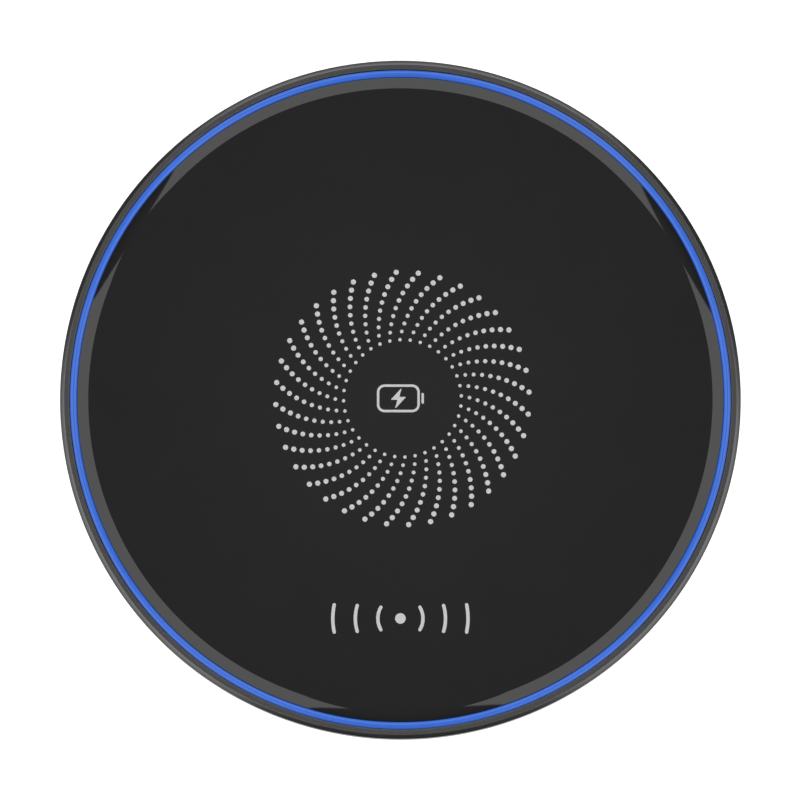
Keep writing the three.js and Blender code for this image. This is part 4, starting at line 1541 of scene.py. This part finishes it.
pads = [washer("pad", 2.55, 3.05, PAD_LOW, PAD_TOP, steps=48, centre=spot) for spot in screw_spots]
for number in range(TEST_PADS):
    pads.append(rod("pad", 0.45, PAD_LOW, PAD_TOP, polar(42.2, 190 + 9 * number), sides=20))
for side in (-1, 1):
    spot = (side * lead_x, LEAD_END[0])
    pads.append(plate("pad", (2.8, 3.0, PAD_THICK), 0.3, PAD_LOW, middle=spot))
    bead = [(radius, track_z + height, *corner) for radius, height, *corner in BEAD]
    pads.append(turned("bead", bead, steps=32, centre=spot))
    for y in TAB_PLACES:
        x = side * (shell_width / 2 + TAB.x / 2 + 0.15)
        pads.append(plate("pad", (1.5, 1.4, PAD_THICK), 0.2, PAD_LOW, middle=(x, y)))
pad_set = show(gathered("tinned_pads", pads), tin)
stands_for(pad_set, "socket_steel")
print(len(pads), "tinned pads and beads")

# %% [markdown]
# ## What is soldered on
#
# A chip is a black moulded body with a dimple over its first contact and tinned contacts round its foot. A
# ceramic capacitor is a tan block with tinned ends. Both come in several sizes here, so each kind has one
# maker that reads its size and seat from the CAD package it stands for.

# %% Seat a package and tin its ends
def placed(whole, node, slot):
    """Moves a package from its own frame to its seat on the board."""
    moved(whole.data, seat(node)[0])
    return stands_for(whole, slot, node)


def end_pair(size, out, corner, edge=0.0):
    """Two equal metal ends, one on each side of a package's middle."""
    ends = [plate("end", size, corner, 0, edge=edge, middle=(side * out, 0)) for side in (-1, 1)]
    return gathered("ends", ends)


print("the crystal sits", [round(v, 2) for v in seat("crystal")[1]])

# %% Mould the chips
chip_black = grained("chip_plastic", (0.011, 0.011, 0.012), (0.016, 0.016, 0.017), 0.05, 0.004, (0.45, 0.6))


CHIP_CONTACT = Vector((0.26, 0.4, 0.25))  # width, reach under the body, height
CHIP_INSET = 0.06  # the body stands this much inside its contacts and over the board
CONTACT_PROUD = 0.03


def contact_row(size, per_side):
    """Tinned contacts along all four sides of a package, in its own frame."""
    width, reach, height = CHIP_CONTACT
    row = []
    for across in (True, False):
        span, depth = (size.x, size.y) if across else (size.y, size.x)
        pitch = span * 0.8 / (per_side - 1)
        for i in range(per_side):
            along = (i - (per_side - 1) / 2) * pitch
            for side in (-1, 1):
                out = side * (depth / 2 - reach / 2 + CONTACT_PROUD)
                middle, pad = ((along, out), (width, reach)) if across else ((out, along), (reach, width))
                row.append(plate("contact", (*pad, height), 0.03, 0, middle=middle))
    return gathered("feet", row)


def chip(node, per_side):
    """A package with a dimple in the corner of its first contact."""
    size = seat(node)[1]
    body_size = size - Vector((CHIP_INSET, CHIP_INSET, CHIP_INSET))
    body = plate("body", body_size, 0.1, CHIP_INSET, edge=0.05)
    corner = (-size.x * 0.36, size.y * 0.36)
    body = cut(body, rod("dimple", size.x * 0.05, size.z - 0.05, size.z + 1, corner, sides=24))
    whole = gathered(f"{node}_package", [body, contact_row(size, per_side)], [chip_black, tin])
    return placed(whole, node, "chip_plastic")


for node, per_side in (("controller_chip", 10), ("bridge_chip", 7), ("protocol_chip", 4)):
    print(chip(node, per_side).name, "with", 4 * per_side, "contacts")

# %% Fire the ceramics
tan_ceramic = Finish("tan_ceramic", IOR=1.7)
body_tone = tan_ceramic.noise(0.3, detail=3)
tan_ceramic.looks(body_tone, (0.30, 0.17, 0.075), (0.42, 0.26, 0.13), rough=(0.35, 0.5), grain=0.004)
glaze_blacks = (0.010, 0.011, 0.014), (0.018, 0.019, 0.024)
resistor_glass = grained("resistor_glaze", *glaze_blacks, 0.3, 0.003, (0.18, 0.3))


BLOCK_INSET, BLOCK_LIFT = 0.03, 0.04  # the block's face lies inside its caps, and it stands off the board


def capped(node, body_finish, slot, end_share=0.16):
    """A block with a tinned cap on each end, as capacitors and resistors have."""
    size = seat(node)[1]
    cap = size.x * end_share
    body_size = (size.x - cap, size.y - 2 * BLOCK_INSET, size.z - BLOCK_LIFT - BLOCK_INSET)
    body = plate("body", body_size, 0.05, BLOCK_LIFT, edge=0.04)
    ends = end_pair((cap, size.y, size.z), (size.x - cap) / 2, 0.07, edge=0.055)
    return placed(gathered(f"{node}_part", [body, ends], [body_finish, tin]), node, slot)


for number in range(4):
    capped(f"resonance_cap_{number + 1}", tan_ceramic, "ceramic")
    capped(f"bypass_cap_{number + 1}", tan_ceramic, "ceramic", 0.22)
capped("thermistor", tan_ceramic, "ceramic", 0.25)
capped("sense_resistor", resistor_glass, "chip_plastic", 0.14)
print("nine ceramics and a resistor")

# %% [markdown]
# The input capacitor is a block of yellow epoxy with folded metal ends and a darker bar at its positive end.
# The power inductor is a square of pressed iron powder with its corners cut off. The crystal hides in a thin
# steel can, welded on to a flange.

# %% Mould the input capacitor
yellow_epoxy = grained("yellow_epoxy", (0.52, 0.28, 0.03), (0.64, 0.36, 0.05), 0.2, 0.005, (0.4, 0.55))
bar_ink = grained("brown_bar", (0.16, 0.05, 0.01), (0.20, 0.07, 0.015), 0.2, 0.003, (0.5, 0.6))
size = seat("input_cap")[1]
END_THICK = 0.14
body = plate("body", (size.x - 0.24, size.y - 0.04, size.z - 0.12), 0.12, 0.1, edge=0.1)
bar = plate("bar", (0.35, size.y - 0.3, 0.03), 0.05, size.z - 0.03, middle=(size.x / 2 - 0.7, 0))
ends = end_pair((END_THICK, size.y * 0.7, 1.1), (size.x - END_THICK) / 2, 0.03)
input_cap = gathered("input_cap_part", [body, bar, ends], [yellow_epoxy, bar_ink, tin])
placed(input_cap, "input_cap", "tantalum_body")
print("input capacitor", round(size.x, 1), "mm long")

# %% Press the inductor
size = seat("power_inductor")[1]
CORNER_CUT = 1.0
x, y = size.x / 2, size.y / 2
corners = [(x, y - CORNER_CUT), (x - CORNER_CUT, y), (-x + CORNER_CUT, y), (-x, y - CORNER_CUT)]
corners = [(x, -y + CORNER_CUT), *corners, (-x, -y + CORNER_CUT), (-x + CORNER_CUT, -y), (x - CORNER_CUT, -y)]
body = slab("body", rounded([(*c, 0.25) for c in corners], steps=3), 0.08, size.z, edge=0.18, segments=3)
body = cut(body, washer("ring", 1.9, 2.05, size.z - 0.06, size.z + 0.5, steps=64))
feet = end_pair((0.9, size.y * 0.62, 0.4), x - 0.42, 0.1)
iron = grained("pressed_iron", (0.045, 0.045, 0.047), (0.075, 0.075, 0.078), 0.12, 0.012, (0.55, 0.75))
inductor = gathered("power_inductor_part", [body, feet], [iron, tin])
placed(inductor, "power_inductor", "inductor_body")
print("inductor", round(size.x, 1), "mm square")

# %% Can the crystal
size = seat("crystal")[1]
flange_plate = plate("flange", (size.x, size.y, 0.2), 0.3, 0, edge=0.05)
can = plate("can", (size.x - 0.35, size.y - 0.35, size.z - 0.15), 0.4, 0.15, edge=0.16)
crystal = gathered("crystal_can", [flange_plate, can], [tan_ceramic, plated])
placed(crystal, "crystal", "crystal_can")
print("crystal", round(size.x, 1), "mm long")

# %% [markdown]
# Eight side-firing lamps face the foot of the lit ring. Each is a white housing with a small window, and the
# window glows the same blue as the ring.

# %% The side lamps
white_housing = Finish("white_housing", Roughness=0.4, IOR=1.55)
housing_tone = white_housing.noise(0.4)
white_housing.looks(housing_tone, (0.74, 0.73, 0.70), (0.82, 0.81, 0.78), grain=0.004)
lamp_window = Finish("lamp_window", Roughness=0.1, IOR=1.5, Emission_Strength=1.6)
phosphor = lamp_window.noise(0.2)
lamp_window.looks(phosphor, (0.05, 0.20, 0.80), (0.09, 0.30, 0.95), socket="Emission Color")
lamp_window.gloss(phosphor, 0.05, 0.15)
lamp_window.material.cycles.emission_sampling = "NONE"

# %% Build the lamps
LAMP_ENDS = 0.5  # how much longer a lamp is than its housing
MOUTH = Vector((0.78, 0.5, 0.62))  # of the housing: a share of its width, a depth, a share of its height
MOUTH_BASE = 0.2  # a share of the height
WINDOW_ROOM = 0.02

for node in LAMPS:
    size = seat(node)[1]
    housing = size.x - LAMP_ENDS
    wide, tall, base = housing * MOUTH.x, size.z * MOUTH.z, size.z * MOUTH_BASE
    body = plate("body", (housing, size.y, size.z), 0.08, 0, edge=0.05)
    body = cut(body, plate("mouth", (wide, MOUTH.y, tall), 0.1, base, middle=(0, size.y / 2)))
    pane = (wide - 2 * WINDOW_ROOM, 0.3, tall - 2 * WINDOW_ROOM)
    window = plate("window", pane, 0.05, base + WINDOW_ROOM, middle=(0, (size.y - MOUTH.y) / 2))
    ends = end_pair((0.3, size.y * 0.8, size.z * 0.7), size.x / 2 - 0.15, 0.05)
    lamp = gathered(f"{node}_lamp", [body, window, ends], [white_housing, lamp_window, tin])
    placed(lamp, node, "lamp")
print(len(LAMPS), "lamps")

# %% [markdown]
# ## The room
#
# The pad stands on a pale floor that glows, like a studio's light table, so that it stays pale and
# throws hardly any shadow. The light comes from the world itself, which is drawn by direction only: a dark
# opening straight above, where the camera looks down, three broad soft boxes round it, weaker light below
# them, and a white band at the horizon. The gaps between the boxes widen outwards like a V, and the boxes'
# inner corners beside a gap are cut back. Nothing lights a black glass pad better than a few clear shapes,
# since all that one sees of it is what it mirrors.

# %% Pale floor
FLOOR_SIZE = 16
FLOOR_GAP = 0.00002  # under the foot, so that the two don't share a face
floor = bpy.data.objects.new("floor", bpy.data.meshes.new("floor"))
floor.data.from_pydata(
    [Vector((x, y, 0)) * FLOOR_SIZE / 2 for x, y in ((-1, -1), (1, -1), (1, 1), (-1, 1))], [], [(0, 1, 2, 3)]
)
floor.location.z = cad_low.z - FLOOR_GAP
bpy.context.scene.collection.objects.link(floor)
pale_floor = Finish("pale_floor", Roughness=0.9, IOR=1.2, Emission_Strength=0.82)
pale_floor.shader.inputs["Emission Color"].default_value = (1, 1, 1, 1)
pale_floor.looks(pale_floor.noise(400, detail=2), grey(0.8), grey(0.82))
show(floor, pale_floor)

# %% The room's measures
# Angles from straight up are given by their tangents, since a mirror's slopes are easiest to follow so.
BOX_LIGHT, BOX_FROM, BOX_TO = 2.28, 0.277, 0.96
LOW_LIGHT, LOW_TO = 1.45, 3.2
DARK_NEAR, DARK_FAR = 0.36, 0.13  # the unlit room overhead and lower down
DARK_FROM, DARK_TO = 0.3, 1.1
OPENING_LIGHT, OPENING_TO = 0.12, 0.042  # the faint glow straight overhead
HORIZON_LIGHT = 1.3
HORIZON_FROM, HORIZON_TO = 0.2, 0.1  # the sine of the angle over the horizon where it starts and is full
EDGE_SOFT, OUTER_SOFT, STRIP_SOFT = 0.01, 0.1, 0.15  # how softly the lights end
GAPS = (  # azimuth, apex and slope of each V, how far the boxes' corners are cut back and how far along,
    (30.0, 0.325, 0.375, 0.112, 0.45, 0.43),  # and last the slope of its strip between the low boxes
    (147.0, 0.33, 0.4, 0.135, 0.45, 0.43),
    (271.0, 0.264, 0.5, 0.184, 0.62, 0.58),
)

world = bpy.data.worlds.new("room")
bpy.context.scene.world = world
world.use_nodes = True
tree = world.node_tree
tree.nodes.clear()


# %% Sums in the room's nodes
def value(operation, *inputs):
    """One sum of the node tree, on sockets or plain numbers."""
    made = tree.nodes.new("ShaderNodeMath")
    made.operation = operation
    for socket, entry in zip(made.inputs, inputs):
        if isinstance(entry, bpy.types.NodeSocket):
            tree.links.new(entry, socket)
        else:
            socket.default_value = entry
    return made.outputs[0]


def rise(entry, start, end):
    """0 below start and 1 above end, smooth between."""
    made = tree.nodes.new("ShaderNodeMapRange")
    made.interpolation_type = "SMOOTHSTEP"
    made.inputs["From Min"].default_value = start
    made.inputs["From Max"].default_value = end
    tree.links.new(entry, made.inputs["Value"])
    return made.outputs[0]


def blend(first, second, share):
    """first where share is 0 and second where it is 1."""
    kept = value("MULTIPLY", first, value("SUBTRACT", 1, share))
    return value("ADD", kept, value("MULTIPLY", second, share))


# %% Directions in the room
direction = tree.nodes.new("ShaderNodeTexCoord").outputs["Generated"]
split = tree.nodes.new("ShaderNodeSeparateXYZ")
tree.links.new(direction, split.inputs[0])
x, y, z = split.outputs
height = value("MAXIMUM", z, 0.02)
across = value("DIVIDE", x, height)
up = value("SUBTRACT", value("DIVIDE", y, height), 1 / math.tan(VIEW_ELEVATION))
spread = value("SQRT", value("ADD", value("MULTIPLY", across, across), value("MULTIPLY", up, up)))

# %% Gaps between the boxes
high_share, low_share, inner_edge = 1, 1, BOX_FROM
for azimuth, apex, slope, corner, corner_reach, low_slope in GAPS:
    cos, sin = math.cos(math.radians(azimuth)), math.sin(math.radians(azimuth))
    along = value("ADD", value("MULTIPLY", across, cos), value("MULTIPLY", up, sin))
    beside = value("ABSOLUTE", value("SUBTRACT", value("MULTIPLY", up, cos), value("MULTIPLY", across, sin)))
    vee = value("MULTIPLY", value("SUBTRACT", along, apex), slope)
    high_share = value("MULTIPLY", high_share, rise(value("SUBTRACT", beside, vee), -0.006, 0.012))
    low_edge = value("SUBTRACT", beside, value("MULTIPLY", along, low_slope))
    low_share = value("MULTIPLY", low_share, rise(low_edge, -STRIP_SOFT, STRIP_SOFT))
    turned_away = rise(value("DIVIDE", beside, value("MAXIMUM", along, 0.001)), 0, corner_reach)
    inner_edge = value("ADD", inner_edge, value("MULTIPLY", value("SUBTRACT", 1, turned_away), corner))

# %% Light the room
past_inner_edge = rise(value("SUBTRACT", spread, inner_edge), -EDGE_SOFT, EDGE_SOFT)
past_boxes = rise(spread, BOX_TO - OUTER_SOFT, BOX_TO)
high_band = value("MULTIPLY", past_inner_edge, value("SUBTRACT", 1, past_boxes))
low_band = value("MULTIPLY", past_boxes, value("SUBTRACT", 1, rise(spread, BOX_TO, LOW_TO)))
opening = value("SUBTRACT", 1, rise(spread, 0, OPENING_TO))
room = blend(DARK_NEAR, DARK_FAR, rise(spread, DARK_FROM, DARK_TO))
room = value("ADD", room, value("MULTIPLY", opening, OPENING_LIGHT))
room = blend(room, LOW_LIGHT, value("MULTIPLY", low_band, low_share))
room = blend(room, BOX_LIGHT, value("MULTIPLY", high_band, high_share))
room = blend(room, HORIZON_LIGHT, value("SUBTRACT", 1, rise(z, HORIZON_TO, HORIZON_FROM)))
glow = tree.nodes.new("ShaderNodeBackground")
tree.links.new(room, glow.inputs["Strength"])
tree.links.new(glow.outputs[0], tree.nodes.new("ShaderNodeOutputWorld").inputs["Surface"])
bpy.context.scene.view_settings.view_transform = "Standard"
print("room lit by", len(GAPS), "soft boxes")
